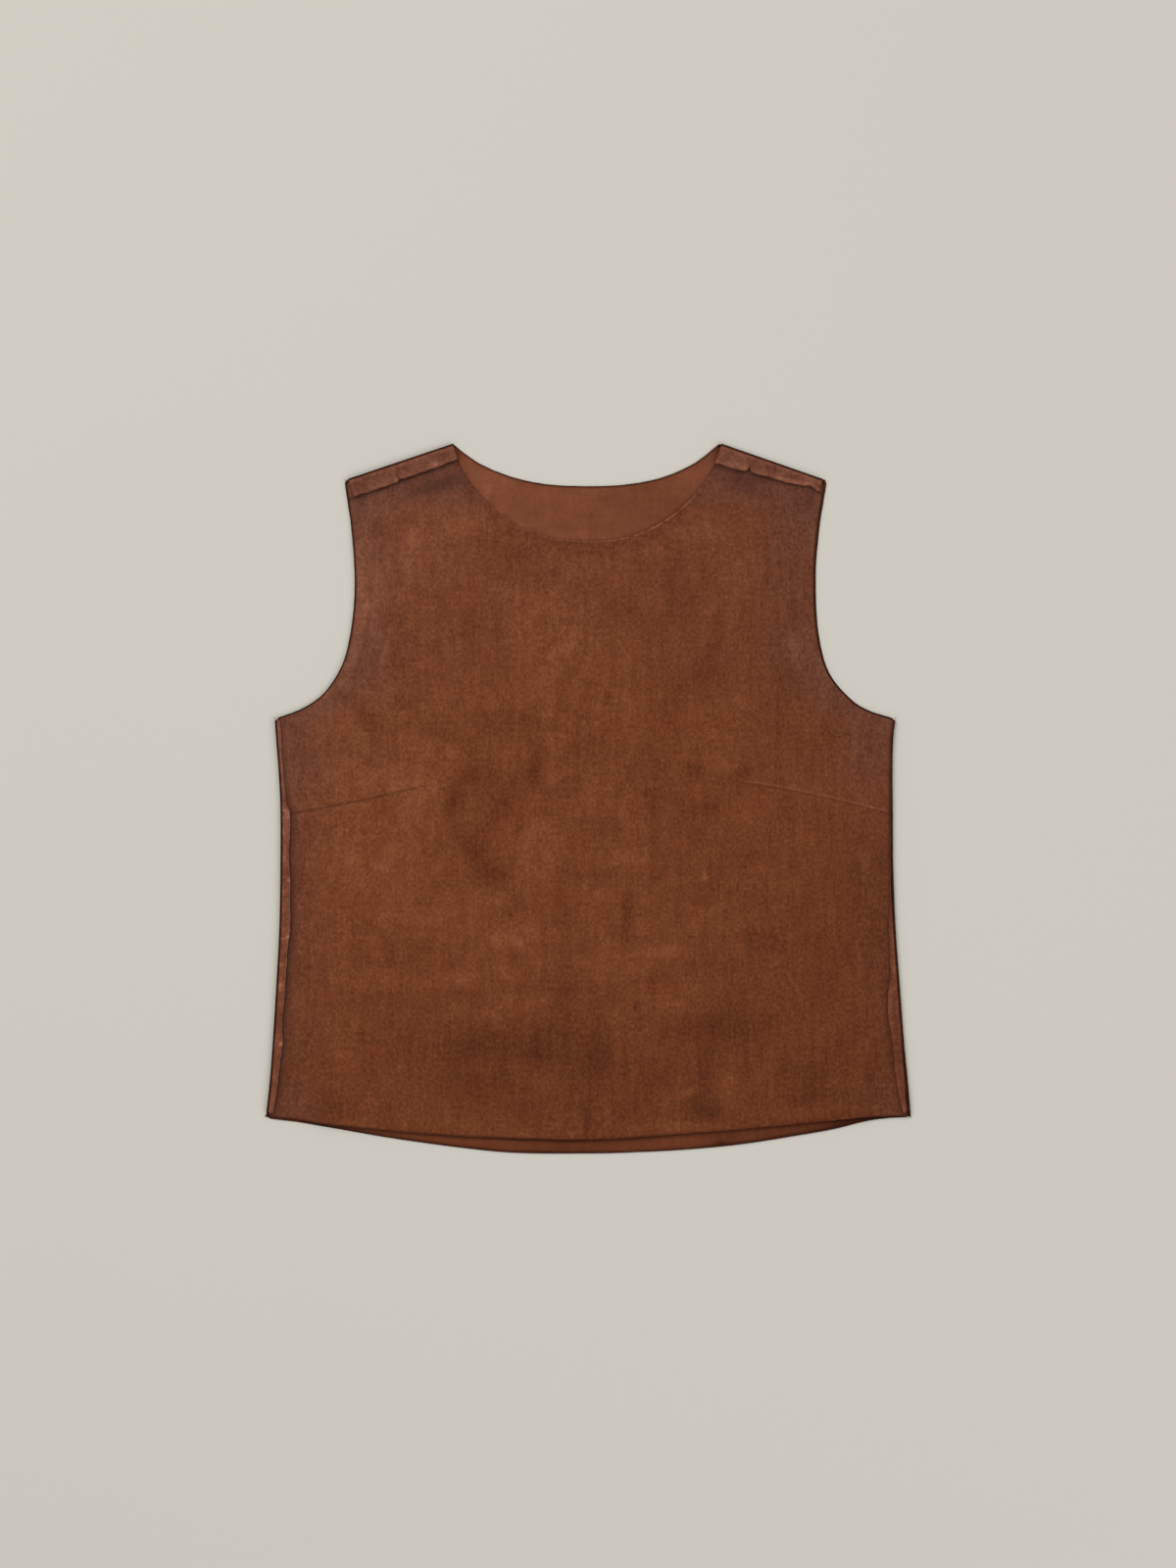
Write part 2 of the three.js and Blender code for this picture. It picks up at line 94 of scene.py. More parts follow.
seamRows = [
    # height, left, right: half widths along the side seams
    (0, 253.3, 253.8), (28, 250.2, 251.4), (58, 247.9, 248.5), (104, 245.0, 245.0),
    (150, 242.6, 241.7), (197, 241.8, 239.8), (243, 241.8, 239.5), (273, 243.3, 239.3),
    (297, 245.2, 239.9), (313.5, 246.3, 241.8),
]
armholeRows = [
    (313.5, 246.3, 241.8), (316, 238.7, 231.5), (320, 228.0, 220.0), (325, 218.5, 210.8),
    (332, 209.3, 203.0), (341, 201.9, 195.1), (352, 195.3, 188.2), (366, 189.8, 183.4),
    (384, 186.0, 180.0), (409.6, 183.4, 178.4), (437, 184.0, 178.6), (465, 186.3, 181.2),
    (484, 188.8, 184.1), (500.9, 191.0, 186.5),
]
hemRows = [
    # x, front, back: heights of the hems
    (-253.3, 0.0, 0.0), (-230, -1.5, -2.7), (-200, -6.2, -8.5), (-154, -10.8, -16.2),
    (-104.7, -14.6, -23.1), (-61.6, -16.6, -27.5), (-12.3, -17.7, -28.5), (30.8, -16.3, -28.1),
    (77, -13.0, -25.4), (127, -8.9, -20.0), (181.7, -3.4, -10.8), (221.8, -0.1, -2.2),
    (253.3, 0.0, 0.0),
]
neck = {
    "halfWidth": 105.8, "pointHeight": 529.3, "centre": -0.6,
    "back": {"drop": 33.4, "power": 2.75, "fullness": 1},
    "front": {"drop": 76.6, "power": 2.3, "fullness": 0.72},
}
sides = {"left": -1, "right": 1}


def smooth(value, low, high):
    t = np.clip((value - low) / (high - low), 0, 1)
    return t * t * (3 - 2 * t)


def splineThrough(points, steps=24):
    p = np.array(points, float)
    around = np.vstack([p[:1], p, p[-1:]])
    t = np.linspace(0, 1, steps, endpoint=False)[:, None]
    spans = []
    for a, b, c, d in zip(around, around[1:], around[2:], around[3:]):
        v, w = (c - a) / 2, (d - b) / 2
        spans.append((2 * b - 2 * c + v + w) * t ** 3 + (3 * c - 3 * b - 2 * v - w) * t ** 2 + v * t + b)
    return np.vstack(spans + [p[-1:]])


def runOf(line):
    return np.append(0, np.cumsum(np.linalg.norm(np.diff(line, axis=0), axis=1)))


def pointsAt(line, shares):
    run = runOf(line)
    at = np.asarray(shares, float) * run[-1]
    return np.stack([np.interp(at, run, line[:, 0]), np.interp(at, run, line[:, 1])], axis=-1)


def inwardOf(line, side):
    # square to an edge that runs from the hem up to the neck, into the cloth
    along = np.gradient(line, runOf(line), axis=0)
    along /= np.linalg.norm(along, axis=1)[:, None]
    return np.stack([along[:, 1], -along[:, 0]], axis=1) * -sides[side]


def shareAtHeight(line, height):
    run = runOf(line)
    return np.interp(height, line[:, 1], run / run[-1])


def neckDepth(across, cut):
    t = np.clip(np.abs(across), 0, 1)
    return cut["drop"] * (1 - t ** cut["power"]) ** cut["fullness"]


def neckLine(shares, cut):
    across = -np.cos(np.pi * np.asarray(shares, float))
    heights = neck["pointHeight"] - neckDepth(across, cut)
    return np.stack([neck["centre"] + across * neck["halfWidth"], heights], axis=-1)


def fromNeck(x, y):
    # place across the front's neck edge, from -1 to 1, and depth below it
    across = (x - neck["centre"]) / neck["halfWidth"]
    return across, neck["pointHeight"] - neckDepth(across, neck["front"]) - y


seamLine, armholeLine = (
    {s: splineThrough([(k * r[1 if k < 0 else 2], r[0]) for r in rows]) for s, k in sides.items()}
    for rows in (seamRows, armholeRows)
)
hemLine = {
    "front": splineThrough([(r[0], r[1]) for r in hemRows]),
    "back": splineThrough([(r[0], r[2]) for r in hemRows]),
}
shoulderLine = {
    s: np.linspace(armholeLine[s][-1], (neck["centre"] + k * neck["halfWidth"], neck["pointHeight"]), 40)
    for s, k in sides.items()
}
underarmHeight = seamRows[-1][0]


def tableAt(rows, at, column=1):
    # a column of a table, read between its rows
    rows = np.array(rows, float)
    return np.interp(at, rows[:, 0], rows[:, column])


def between(value, rise, fall):
    return smooth(value, *rise) * (1 - smooth(value, *fall))


def bell(distance, width):
    return np.exp(-(distance / width) ** 2)


def ripple(at, waves):
    # the sum of waves of a size, span and start
    return sum(size * np.sin(at / span + start) for size, span, start in waves)


def halfWidthAt(side, height):
    return tableAt(seamRows[:-1] + armholeRows, height, 1 if side == "left" else 2)


# relief of the front

leather = 1.2
levels = {"frontUnderside": 1.5, "stripUnderside": 3.0, "stripTop": 4.1}

darts = {
    "left": {"endHeight": 237, "tip": (-106, 265.7), "bow": -1.2},
    "right": {"endHeight": 239.5, "tip": (109.5, 266.5), "bow": 2.2},
}
dartShape = {
    "groove": 0.3, "grooveWidth": 1.8, "intake": 0.7, "intakeWidth": 11,
    "softness": 3, "tipShare": 0.15, "fromSeam": 1.5,
}

creases = [
    # x, y, turn, length, width, height: soft folds, where a negative height is a trough
    (-171, 402, 92, 72, 10, 0.8), (-160, 410, 94, 58, 9, -0.6), (-150, 358, 64, 38, 9, 0.8),
    (-140, 344, 70, 42, 10, -0.5), (-86, 238, 104, 44, 17, -0.9), (-66, 200, 58, 40, 15, -0.8),
    (120, 276, 22, 26, 9, -0.7), (-8, 340, 91, 120, 26, 1.0), (46, 262, 76, 66, 22, 0.7),
    (158, 370, 101, 62, 14, 0.6), (150, 112, 97, 86, 22, 0.9), (90, 40, 28, 44, 12, 0.7),
    (-150, 52, 12, 74, 19, 0.8), (-28, 66, 172, 88, 23, -0.7), (-178, 168, 86, 78, 16, 0.6),
]
fineCreases = [
    (119, 274, 28, 15, 4.5, -0.35), (94, 20, 24, 17, 5, 0.3), (-164, 368, 72, 30, 5, 0.3),
    (-156, 362, 74, 34, 5, -0.3), (-31, 352, 88, 40, 7, 0.25), (62, 300, 92, 34, 6, -0.25),
    (-70, 300, 96, 36, 7, -0.25), (52, 232, 90, 50, 6, -0.25), (-38, 268, 72, 26, 6, -0.3),
    (30, 160, 84, 24, 7, -0.25), (92, 158, 30, 26, 6, 0.3), (110, 152, 24, 22, 5, -0.2),
    (-58, 130, 8, 44, 8, 0.2), (18, 110, 176, 46, 7, -0.2), (-120, 190, 88, 44, 9, 0.2),
    (140, 250, 82, 38, 8, 0.2), (166, 330, 60, 26, 6, 0.25), (-94, 92, 30, 40, 8, 0.25),
]
standing = {
    "crown": 1.9, "folds": 1.5,
    "neck": 0.9, "neckReach": 26,
    "hem": 0.6, "hemReach": 42,
    "hemWaves": [(0.55, 171, 0.9), (0.45, 97, 2.1), (0.2, 59, 4.0)],  # height, span, start
    "sideBand": 15, "shoulderBand": 20, "bandSoftness": 26,
    "pressed": 0.75, "pressedAcross": (-30, 30), "pressedBelow": (4, 34),  # the right of the neck edge
}
armholeRoll = {
    # height, x
    "line": [
        (328, -200), (338, -190), (351, -183.3), (364.5, -177.5), (385, -173.5), (405, -171.5), (425, -171.2),
        (443, -172.8), (458, -177),
    ],
    "slant": 0.93, "from": (322, 340), "to": (440, 462),
    "height": 0.8, "rise": (0.3, 4), "settled": 0.7, "settle": (5, 12),
    "groove": 0.25, "grooveWidth": 1.3,
}


def dartHeightAt(dart, side, x):
    end = sides[side] * (halfWidthAt(side, dart["endHeight"]) - dartShape["fromSeam"])
    share = (x - end) / (dart["tip"][0] - end)
    inside = np.clip(share, 0, 1)
    rise = dart["endHeight"] + (dart["tip"][1] - dart["endHeight"]) * inside
    return share, rise + dart["bow"] * np.sin(np.pi * inside)


def dartRelief(x, y):
    total = np.zeros_like(x)
    for side, dart in darts.items():
        share, height = dartHeightAt(dart, side, x)
        above = y - height
        groove = -dartShape["groove"] * bell(above, dartShape["grooveWidth"])
        reach = dartShape["intakeWidth"] * (1 - share) + dartShape["softness"]
        intake = dartShape["intake"] * smooth(above + reach, 0, dartShape["softness"]) * (above < 0)
        fade = smooth(1 - share, 0, dartShape["tipShare"])
        total += np.where((share >= 0) & (share <= 1), fade * (groove + intake), 0)
    return total


def creaseRelief(x, y, rows):
    total = np.zeros_like(x)
    for cx, cy, turn, length, width, height in rows:
        a = math.radians(turn)
        along = ((x - cx) * math.cos(a) + (y - cy) * math.sin(a)) / length
        across = ((y - cy) * math.cos(a) - (x - cx) * math.sin(a)) / width
        total += height * np.exp(-2 * (along ** 2 + across ** 2))
    return total


def edgeRelief(x, y):
    waves = ripple(2 * np.pi * x, standing["hemWaves"])
    hemShare = 1 - smooth(y - tableAt(hemRows, x), 0, standing["hemReach"])
    hem = np.maximum(standing["hem"] + waves, 0) * hemShare
    across, below = fromNeck(x, y)
    rise = standing["neck"] * (1 - smooth(below, 0, standing["neckReach"]))
    return hem + np.where(np.abs(across) < 1, rise, 0)


def flatShare(x, y):
    # 0 along the side and shoulder seams, where the front lies flat, 1 away from them
    share, soft = np.zeros_like(x), standing["bandSoftness"]
    for side, k in sides.items():
        fromSide = halfWidthAt(side, y) - np.abs(x)
        tip, point = shoulderLine[side][0], shoulderLine[side][-1]
        fromShoulder = tip[1] + (point[1] - tip[1]) / (point[0] - tip[0]) * (x - tip[0]) - y
        near = smooth(fromSide, standing["sideBand"], standing["sideBand"] + soft)
        near = near * smooth(fromShoulder, standing["shoulderBand"], standing["shoulderBand"] + soft)
        share = np.where(x * k > 0, near, share)
    return share


def rollAt(x, y):
    # the edge of the left armhole turns up a little: distance from the turn, and its strength
    beyond = (tableAt(armholeRoll["line"], y) - x) * armholeRoll["slant"]
    return beyond, between(y, armholeRoll["from"], armholeRoll["to"]) * (x < 0)


def rollRelief(x, y):
    roll = armholeRoll
    beyond, strength = rollAt(x, y)
    rise = roll["height"] * smooth(beyond, *roll["rise"])
    rise = rise * (1 - roll["settled"] * smooth(beyond, *roll["settle"]))
    return strength * (rise - roll["groove"] * bell(beyond, roll["grooveWidth"]))


def frontRelief(x, y):
    relief = standing["crown"] + standing["folds"] * creaseRelief(x, y, creases + fineCreases)
    relief += dartRelief(x, y) + edgeRelief(x, y)
    across, below = fromNeck(x, y)
    near = (1 - smooth(below, *standing["pressedBelow"])) * (np.abs(across) < 1)
    pressed = 1 - standing["pressed"] * smooth(x, *standing["pressedAcross"]) * near
    return np.maximum(np.maximum(relief, 0) * flatShare(x, y) * pressed + rollRelief(x, y), 0)


# rows of the turned side allowances, from the hem to the underarm: along, width, lift, nap

sideLeftRows = [
    (0.012, 5.4, 0.2, 0.3), (0.06, 6.3, 0.4, 0.1), (0.12, 6.8, 0.5, 0.15), (0.178, 7.8, 0.4, 0.2),
    (0.186, 8.2, 0.4, 1.5), (0.194, 7.7, 0.4, 0.1), (0.215, 7.2, 0.35, -0.4), (0.25, 6.5, 0.3, -0.4),
    (0.3, 7.0, 0.2, 0.2), (0.36, 7.2, 0.2, 0.4), (0.42, 7.4, 0.3, 0.0), (0.445, 7.9, 0.4, 0.1),
    (0.453, 8.3, 0.4, 1.2), (0.461, 8.3, 0.5, 0.1), (0.48, 8.7, 0.6, 0.1), (0.54, 8.0, 0.4, 0.0),
    (0.585, 7.8, 0.4, 0.2), (0.595, 8.1, 0.4, 1.4), (0.605, 7.7, 0.4, 0.1), (0.66, 6.4, 0.3, 0.2),
    (0.72, 7.8, 0.3, 0.2), (0.765, 7.2, 0.3, 1.0), (0.78, 5.2, 0.2, 0.0), (0.84, 4.1, 0.1, -0.3),
    (0.9, 3.8, 0.0, 0.1), (0.995, 4.6, 0.0, -0.5),
]
sideRightRows = [
    (0.012, 5.7, 0.2, -0.3), (0.026, 6.3, 0.4, 1.0), (0.042, 7.5, 0.5, -0.1), (0.07, 8.4, 0.5, 0.0),
    (0.12, 9.3, 0.5, 0.1), (0.19, 9.0, 0.6, -0.1), (0.25, 11.0, 0.8, 0.2), (0.3, 10.3, 0.7, 0.1),
    (0.36, 6.6, 0.5, 0.0), (0.42, 5.6, 0.3, 0.0), (0.48, 5.5, 0.2, 0.0), (0.54, 3.3, 0.1, -0.2),
    (0.6, 3.0, 0.0, 0.0), (0.7, 2.1, 0.0, 0.0), (0.995, 2.1, 0.0, 0.0),
]

# and of the shoulder allowances, from the armhole to the neck

shoulderLeftRows = [
    (0.03, 15.2, 0.1, 0.1), (0.12, 15.4, 0.2, 0.0), (0.25, 15.7, 0.4, 0.1), (0.34, 15.5, 0.5, 0.1),
    (0.4, 15.1, 0.6, 0.0), (0.424, 15.1, 0.6, 0.9), (0.436, 14.9, 0.7, 0.3), (0.452, 14.2, 0.7, -1.2),
    (0.466, 14.2, 0.8, -0.4), (0.5, 14.7, 0.9, 0.1), (0.62, 14.2, 0.8, 0.1), (0.8, 14.1, 0.5, 0.3),
    (0.92, 13.8, 0.3, 0.1), (1, 13.0, 0.2, 0.2),
]
shoulderRightRows = [
    (0.02, 11.2, 0.0, -0.1), (0.06, 9.9, 0.1, 0.0), (0.12, 8.9, 0.3, 0.3), (0.2, 11.2, 0.8, 0.4),
    (0.3, 12.3, 1.0, 0.2), (0.45, 13.0, 1.1, 0.0), (0.58, 14.1, 1.0, -0.1), (0.66, 13.7, 0.9, -0.3),
    (0.676, 12.8, 0.8, -0.9), (0.69, 10.6, 0.6, -1.1), (0.708, 14.4, 0.7, 0.1), (0.76, 15.7, 0.7, 0.0),
    (0.84, 16.2, 0.6, 0.1), (0.92, 16.4, 0.5, 0.0), (1, 16.9, 0.3, -0.1),
]

# nap

darkPatches = [
    # x, y, turn, length, width, tone: where the nap lies dark
    (-106, 246, 74, 18, 8, -0.75), (-92, 268, 10, 22, 12, -0.6), (-100, 252, 0, 22, 18, -0.35),
    (-66, 244, 60, 20, 12, -0.7), (-43, 274, 76, 26, 10, -0.75), (-60, 266, 0, 26, 14, -0.35),
    (-90, 212, 118, 30, 13, -0.9), (-72, 190, 0, 20, 12, -0.75), (-78, 226, 0, 12, 12, -0.3),
    (-80, 252, 90, 24, 13, -0.3), (-50, 168, 150, 20, 8, -0.3), (-76, 312, 0, 60, 16, -0.35),
    (-70, 306, 0, 30, 12, -0.2), (-42, 236, 0, 12, 9, -0.35), (4, 230, 90, 14, 11, -0.3),
    (-20, 256, 0, 16, 12, -0.4), (12, 285, 0, 40, 24, -0.3), (18, 222, 90, 30, 22, -0.45),
    (66, 248, 0, 26, 20, -0.4), (4, 50, 60, 30, 24, -0.68), (-88, 55, 20, 40, 22, -0.75),
    (-86, 26, 0, 30, 14, -0.45), (-42, 56, 0, 26, 18, -0.65), (96, 73, 10, 34, 14, -0.45),
    (120, 72, 80, 22, 16, -0.15), (92, 44, 80, 24, 12, -0.3), (90, 24, 50, 20, 11, -0.3),
    (95, 8, 0, 20, 16, -0.5), (176, 22, 20, 34, 24, -0.3), (123, 272, 30, 14, 6, -0.6),
    (84, 272, 0, 20, 10, -0.45), (96, 243, 0, 18, 9, -0.45), (52, 250, 92, 60, 7, -0.4),
    (52, 208, 90, 26, 6, -0.35), (31, 158, 92, 30, 8, -0.55), (16, 190, 0, 34, 6, -0.5),
    (156, 340, 82, 40, 10, -0.15), (162, 404, 88, 26, 10, -0.2), (156, 448, 85, 24, 12, -0.15),
    (168, 488, 0, 14, 10, -0.1), (70, 414, 92, 44, 16, -0.25), (104, 386, 88, 30, 12, -0.2),
    (92, 352, 20, 30, 20, -0.35), (-188, 326, 130, 30, 9, -0.2), (-172, 308, 130, 28, 9, -0.35),
    (16, 446, 0, 46, 9, -0.25), (-54, 442, 0, 26, 12, -0.35), (-152, 384, 92, 50, 7, -0.3),
    (-72, 388, 92, 46, 8, -0.25), (-94, 384, 90, 20, 12, -0.3), (66, 316, 92, 40, 7, -0.35),
    (-200, 8, 0, 24, 12, -0.45), (-10, 100, 0, 80, 8, -0.25), (24, 130, 90, 30, 10, -0.15),
    (-18, 60, 92, 60, 10, -0.3), (55, 30, 90, 24, 10, -0.3), (0, -2, 90, 20, 6, -0.5),
    (-110, 436, 0, 50, 20, -0.05), (118, 502, -18, 20, 10, -0.1), (-120, 305, 0, 14, 12, -0.5),
    (45, 135, 0, 14, 10, -0.4), (-40, 143, 0, 14, 12, -0.45), (132, 140, 0, 22, 16, -0.35),
    (-140, 290, 90, 50, 10, -0.3), (-162, 362, 84, 60, 12, -0.3), (92, 186, 90, 30, 10, -0.3),
    (-35, 45, 0, 12, 14, -0.3), (58, 365, 90, 60, 16, -0.2), (216, 182, 90, 72, 26, -0.4),
    (80, 156, 0, 16, 8, -0.3), (86, 224, 60, 40, 20, -0.25), (-40, 262, 90, 14, 9, -0.3),
    (30, 34, 0, 12, 14, -0.3), (-60, 8, 0, 24, 9, -0.3), (-5, 6, 90, 24, 9, -0.25),
    (96, 0, 0, 16, 8, -0.4), (170, 480, 0, 14, 10, -0.3), (-86, 492, 0, 12, 9, -0.25),
    (-36, 40, 120, 20, 7, -0.3), (34, 12, 110, 14, 7, -0.3), (160, 240, 0, 18, 14, -0.25),
    (-222, 212, 90, 24, 10, -0.25), (-220, 272, 70, 18, 8, -0.3), (-226, 190, 91, 90, 6, -0.15),
    (126, 268, 0, 10, 8, -0.25), (-38, 242, 90, 14, 8, -0.2), (-10, 230, 90, 20, 7, -0.25),
    (-92, 188, 0, 16, 12, -0.25), (-94, 96, -30, 18, 7, -0.3), (-25, 88, 0, 18, 10, -0.3),
    (158, 36, 0, 14, 8, -0.3), (152, 373, 15, 18, 8, -0.25), (-184, 374, 84, 28, 6, -0.25),
    (-60, 384, 0, 12, 10, -0.25), (38, 374, 45, 28, 12, -0.2), (-64, 348, 0, 26, 10, -0.2),
    (42, 286, 80, 24, 9, -0.2), (-12, 128, 60, 24, 9, -0.2), (-18, 288, 90, 16, 10, -0.25),
    (-98, 292, 0, 12, 10, -0.3), (35, 262, 90, 12, 8, -0.25), (-100, 158, 0, 16, 10, -0.3),
    (-22, 165, 90, 40, 9, -0.3), (-104, 109, 0, 14, 9, -0.3), (102, 190, 82, 40, 13, -0.25),
    (-140, 61, 0, 14, 11, -0.3), (20, 92, 0, 18, 6, -0.25), (55, 476, 0, 30, 14, -0.05),
    (38, 87, 0, 3.4, 3.4, -1.3), (-152, 358, 74, 30, 3.6, -0.4), (-78, 224, 90, 12, 8, -0.3),
    (-38, 266, 90, 14, 8, -0.25), (-68, 296, 0, 12, 10, -0.25), (10, 183, 0, 12, 6, -0.3),
    (-86, 14, 0, 20, 12, -0.25),
]
lightPatches = [
    # and where it is rubbed light
    (-178, 424, 88, 66, 10, 0.45), (-182, 372, 74, 40, 9, 0.15), (-140, 280, 70, 40, 18, 0.4),
    (-132, 258, 20, 24, 13, 0.7), (-16, 374, 60, 18, 14, 0.35), (-31, 332, 88, 44, 8, 0.4),
    (-40, 220, 90, 34, 18, 0.5), (27, 204, 0, 30, 8, 0.3), (-52, 142, 6, 36, 11, 0.7),
    (-98, 108, 0, 18, 9, 0.8), (-70, 116, 0, 20, 12, 0.4), (54, 130, 0, 40, 10, 0.5),
    (92, 158, 30, 30, 6, 0.5), (120, 154, 20, 24, 8, 0.4), (108, 25, 84, 20, 14, 0.7),
    (92, 460, 0, 32, 14, 0.35), (161, 371, 90, 14, 10, 0.7), (-40, 410, 20, 40, 16, 0.25),
    (-54, 378, 90, 24, 12, 0.4), (-194, 250, 90, 120, 26, 0.2), (-190, 46, 90, 50, 16, 0.35),
    (32, 118, 0, 30, 10, 0.4), (-94, 300, 90, 20, 6, 0.15), (-24, 232, 90, 9, 7, 0.3),
    (-158, 318, 90, 36, 7, 0.3), (30, 236, 90, 24, 8, 0.25), (66, 346, 90, 30, 6, 0.2),
    (-104, 468, 0, 30, 16, 0.3), (-140, 450, 90, 40, 12, 0.35), (112, 320, 60, 40, 18, 0.3),
    (-114, 160, 0, 44, 16, 0.3), (188, 246, 0, 40, 20, 0.15), (30, 345, 90, 40, 8, 0.5),
    (10, 253, 0, 12, 10, 0.4), (100, 398, 60, 18, 12, 0.45), (85, 378, 0, 22, 8, 0.35),
    (-135, 440, 60, 50, 30, 0.25), (-68, 425, 90, 22, 8, 0.3), (-165, 425, 60, 20, 14, 0.3),
    (-140, 108, 0, 60, 8, 0.4), (-68, 178, 90, 20, 8, 0.35), (25, 187, 0, 14, 8, 0.45),
    (-185, 160, 60, 30, 14, 0.25), (-145, 195, 0, 40, 14, 0.25), (-75, 80, 60, 36, 18, 0.3),
    (22, 60, 90, 30, 9, 0.4), (70, 90, 0, 26, 20, 0.45), (-45, 90, 0, 22, 10, 0.35),
    (-175, 264, 0, 40, 14, 0.3), (-44, 386, 0, 14, 12, 0.2), (-2, 394, 0, 22, 9, 0.25),
    (-72, 325, 90, 14, 10, 0.25), (165, 96, 0, 20, 16, 0.35), (42, 96, 0, 22, 14, 0.3),
    (107, 133, 0, 14, 11, 0.35), (112, 396, 90, 60, 14, 0.25), (110, 440, 0, 30, 14, 0.2),
    (178, 5, 3, 56, 7, 0.5), (-106, 429, 30, 26, 9, 0.3), (-160, 411, 0, 20, 12, 0.25),
    (-146, 304, 82, 28, 6, 0.35), (-128, 246, 20, 16, 8, 0.3), (100, 277, 0, 14, 10, 0.3),
    (174, 262, 0, 18, 12, 0.3), (22, 132, 10, 22, 11, 0.3), (-108, 82, 0, 18, 12, 0.3),
    (124, 82, 40, 20, 12, 0.3), (-136, 146, 0, 14, 12, 0.25), (216, 200, 30, 16, 9, 0.35),
    (226, 74, 90, 16, 9, 0.3), (-178, 455, 90, 14, 8, 0.3), (-150, 365, 85, 20, 4, 0.3),
    (72, 282, 90, 22, 7, 0.25), (-108, 288, 90, 20, 6, 0.3), (150, 270, 90, 16, 5, 0.25),
    (124, 22, 50, 26, 7, 0.35), (-84, 462, 90, 20, 8, 0.2), (-170, 125, 90, 22, 8, 0.2),
    (76, 408, 90, 16, 7, 0.25), (56, 18, 90, 14, 8, 0.3), (-120, 8, 0, 16, 10, 0.35),
    (-157, 443, 80, 12, 6, 0.3), (176, 446, 85, 24, 5, 0.3), (124, 414, 80, 14, 6, 0.3),
    (144, 346, 90, 14, 6, 0.3), (-112, 282, 90, 14, 6, 0.2), (-160, 263, 0, 10, 8, 0.3),
    (-46, 263, 0, 12, 7, 0.25), (86, 238, 85, 24, 7, 0.25), (18, 216, 0, 10, 10, 0.3),
    (-85, 216, 88, 22, 4, 0.3), (28, 440, 80, 14, 8, 0.3), (146, 20, 20, 16, 9, 0.3),
    (-155, 29, 0, 20, 9, 0.3), (-152, 480, 12, 34, 9, 0.3), (170, 70, 0, 40, 30, 0.2),
    (-110, -4, 0, 34, 9, 0.45), (-55, -14, 0, 18, 6, 0.5), (80, -7, 0, 46, 7, 0.55),
    (185, 25, 0, 50, 16, 0.25), (45, 445, 0, 30, 9, 0.35), (92, 189, 0, 4, 4, 1.6),
    (80, 20, 26, 17, 2.8, 0.8), (-159, 366, 74, 30, 3.6, 0.5), (112, 274, 12, 18, 8, 0.4),
    (43, 300, 60, 12, 10, 0.25), (-148, 208, 60, 30, 20, 0.2), (125, 466, 90, 34, 14, 0.3),
    (162, 384, 10, 20, 9, 0.25), (-172, 396, 80, 24, 10, 0.25), (160, 148, 0, 50, 8, 0.2),
    (66, 14, 60, 30, 14, 0.25), (150, 54, 60, 16, 10, 0.25), (-34, 156, 60, 18, 10, 0.2),
    (-8, 380, 90, 26, 9, 0.25),
]
paintedShadePatches = [
    # painted shade, dark and cool beside the shoulder seams and the left neck edge, where the turned
    # allowances and the neck edge shade the front
    (-118, 497, 17, 40, 11, 0.7), (-94, 490, 120, 22, 9, 0.2), (-146, 486, 17, 24, 7, 0.12),
    (122, 498, -16, 30, 12, 0.55), (174, 486, 80, 20, 8, 0.1), (-228, 306, 90, 12, 12, 0.35),
    (-228, 282, 90, 20, 10, 0.3), (-178, 478, 84, 36, 7, 0.35),
]
napAndLightTrend = {
    # tones, with the places where each begins and is full; right and low are painted light falloff, darker
    # away from the key light at the upper left
    "right": -0.32, "rightFrom": (-40, 200),
    "low": -0.42, "lowTo": (0, 230),
    "high": -0.1, "highFrom": (250, 450),
    "neck": -0.3, "neckWidth": 9,
    "roll": 0.25, "rollFrom": (0.5, 3),
}
coolBands = {
    # amounts on the left and right half, distances from the side edge and heights where each fades,
    # of which rightDip is a share taken off side
    "side": {"amount": (0.6, 0.6), "across": (8, 58), "up": (150, 330)},
    "rightDip": {"amount": (0, 0.35), "up": (180, 220), "down": (250, 290)},
    "strapDip": {"amount": (-0.18, -0.18), "across": (8, 58), "up": (350, 390), "down": (450, 475)},
    "low": {"amount": (0.3, 0.15), "across": (10, 50), "down": (150, 300)},
    "bust": {"amount": (0.13, 0.13), "across": (60, 150), "up": (240, 280), "down": (370, 400)},
    "hem": {"amount": (0.2, 0.2), "across": (20, 70), "down": (10, 35)},
    "yoke": {"amount": (0.2, 0.2), "up": (300, 470)},
    "shoulder": {"amount": (0.5, 0.5), "up": (465, 500)},
    "all": {"amount": (0.1, 0.1)},
}
stripShadow = {
    # height with the strength of the shadow on each side, and with its reach
    "left": [(0, 0.95), (40, 0.85), (75, 0.95), (150, 1.05), (240, 0.85), (262, 0.6), (313, 0.4)],
    "right": [(0, 0.6), (40, 0.45), (75, 0.4), (150, 0.4), (240, 0.3), (262, 0.1), (313, 0)],
    "reach": [(0, 3), (40, 3.6), (110, 4.6), (150, 4), (240, 4), (313, 3)],
}
shoulderShadow = {
    "line": 0.62, "lineAt": 0.6, "lineWidth": 1.7,
    "soft": 0.25, "softWidth": 5, "rightFrom": (0.35, 0.6),
    "outside": 90, "above": 470,
}
dartHighlightAndShadeLook = {
    # painted shade and painted highlight along the darts
    "leftLine": -0.42, "leftWidth": 0.8, "leftFade": 0.3,
    "rightRidge": 0.3, "rightUnder": -0.28, "rightDrop": 1.4, "rightWidth": 0.9, "rightFade": 0.25,
}


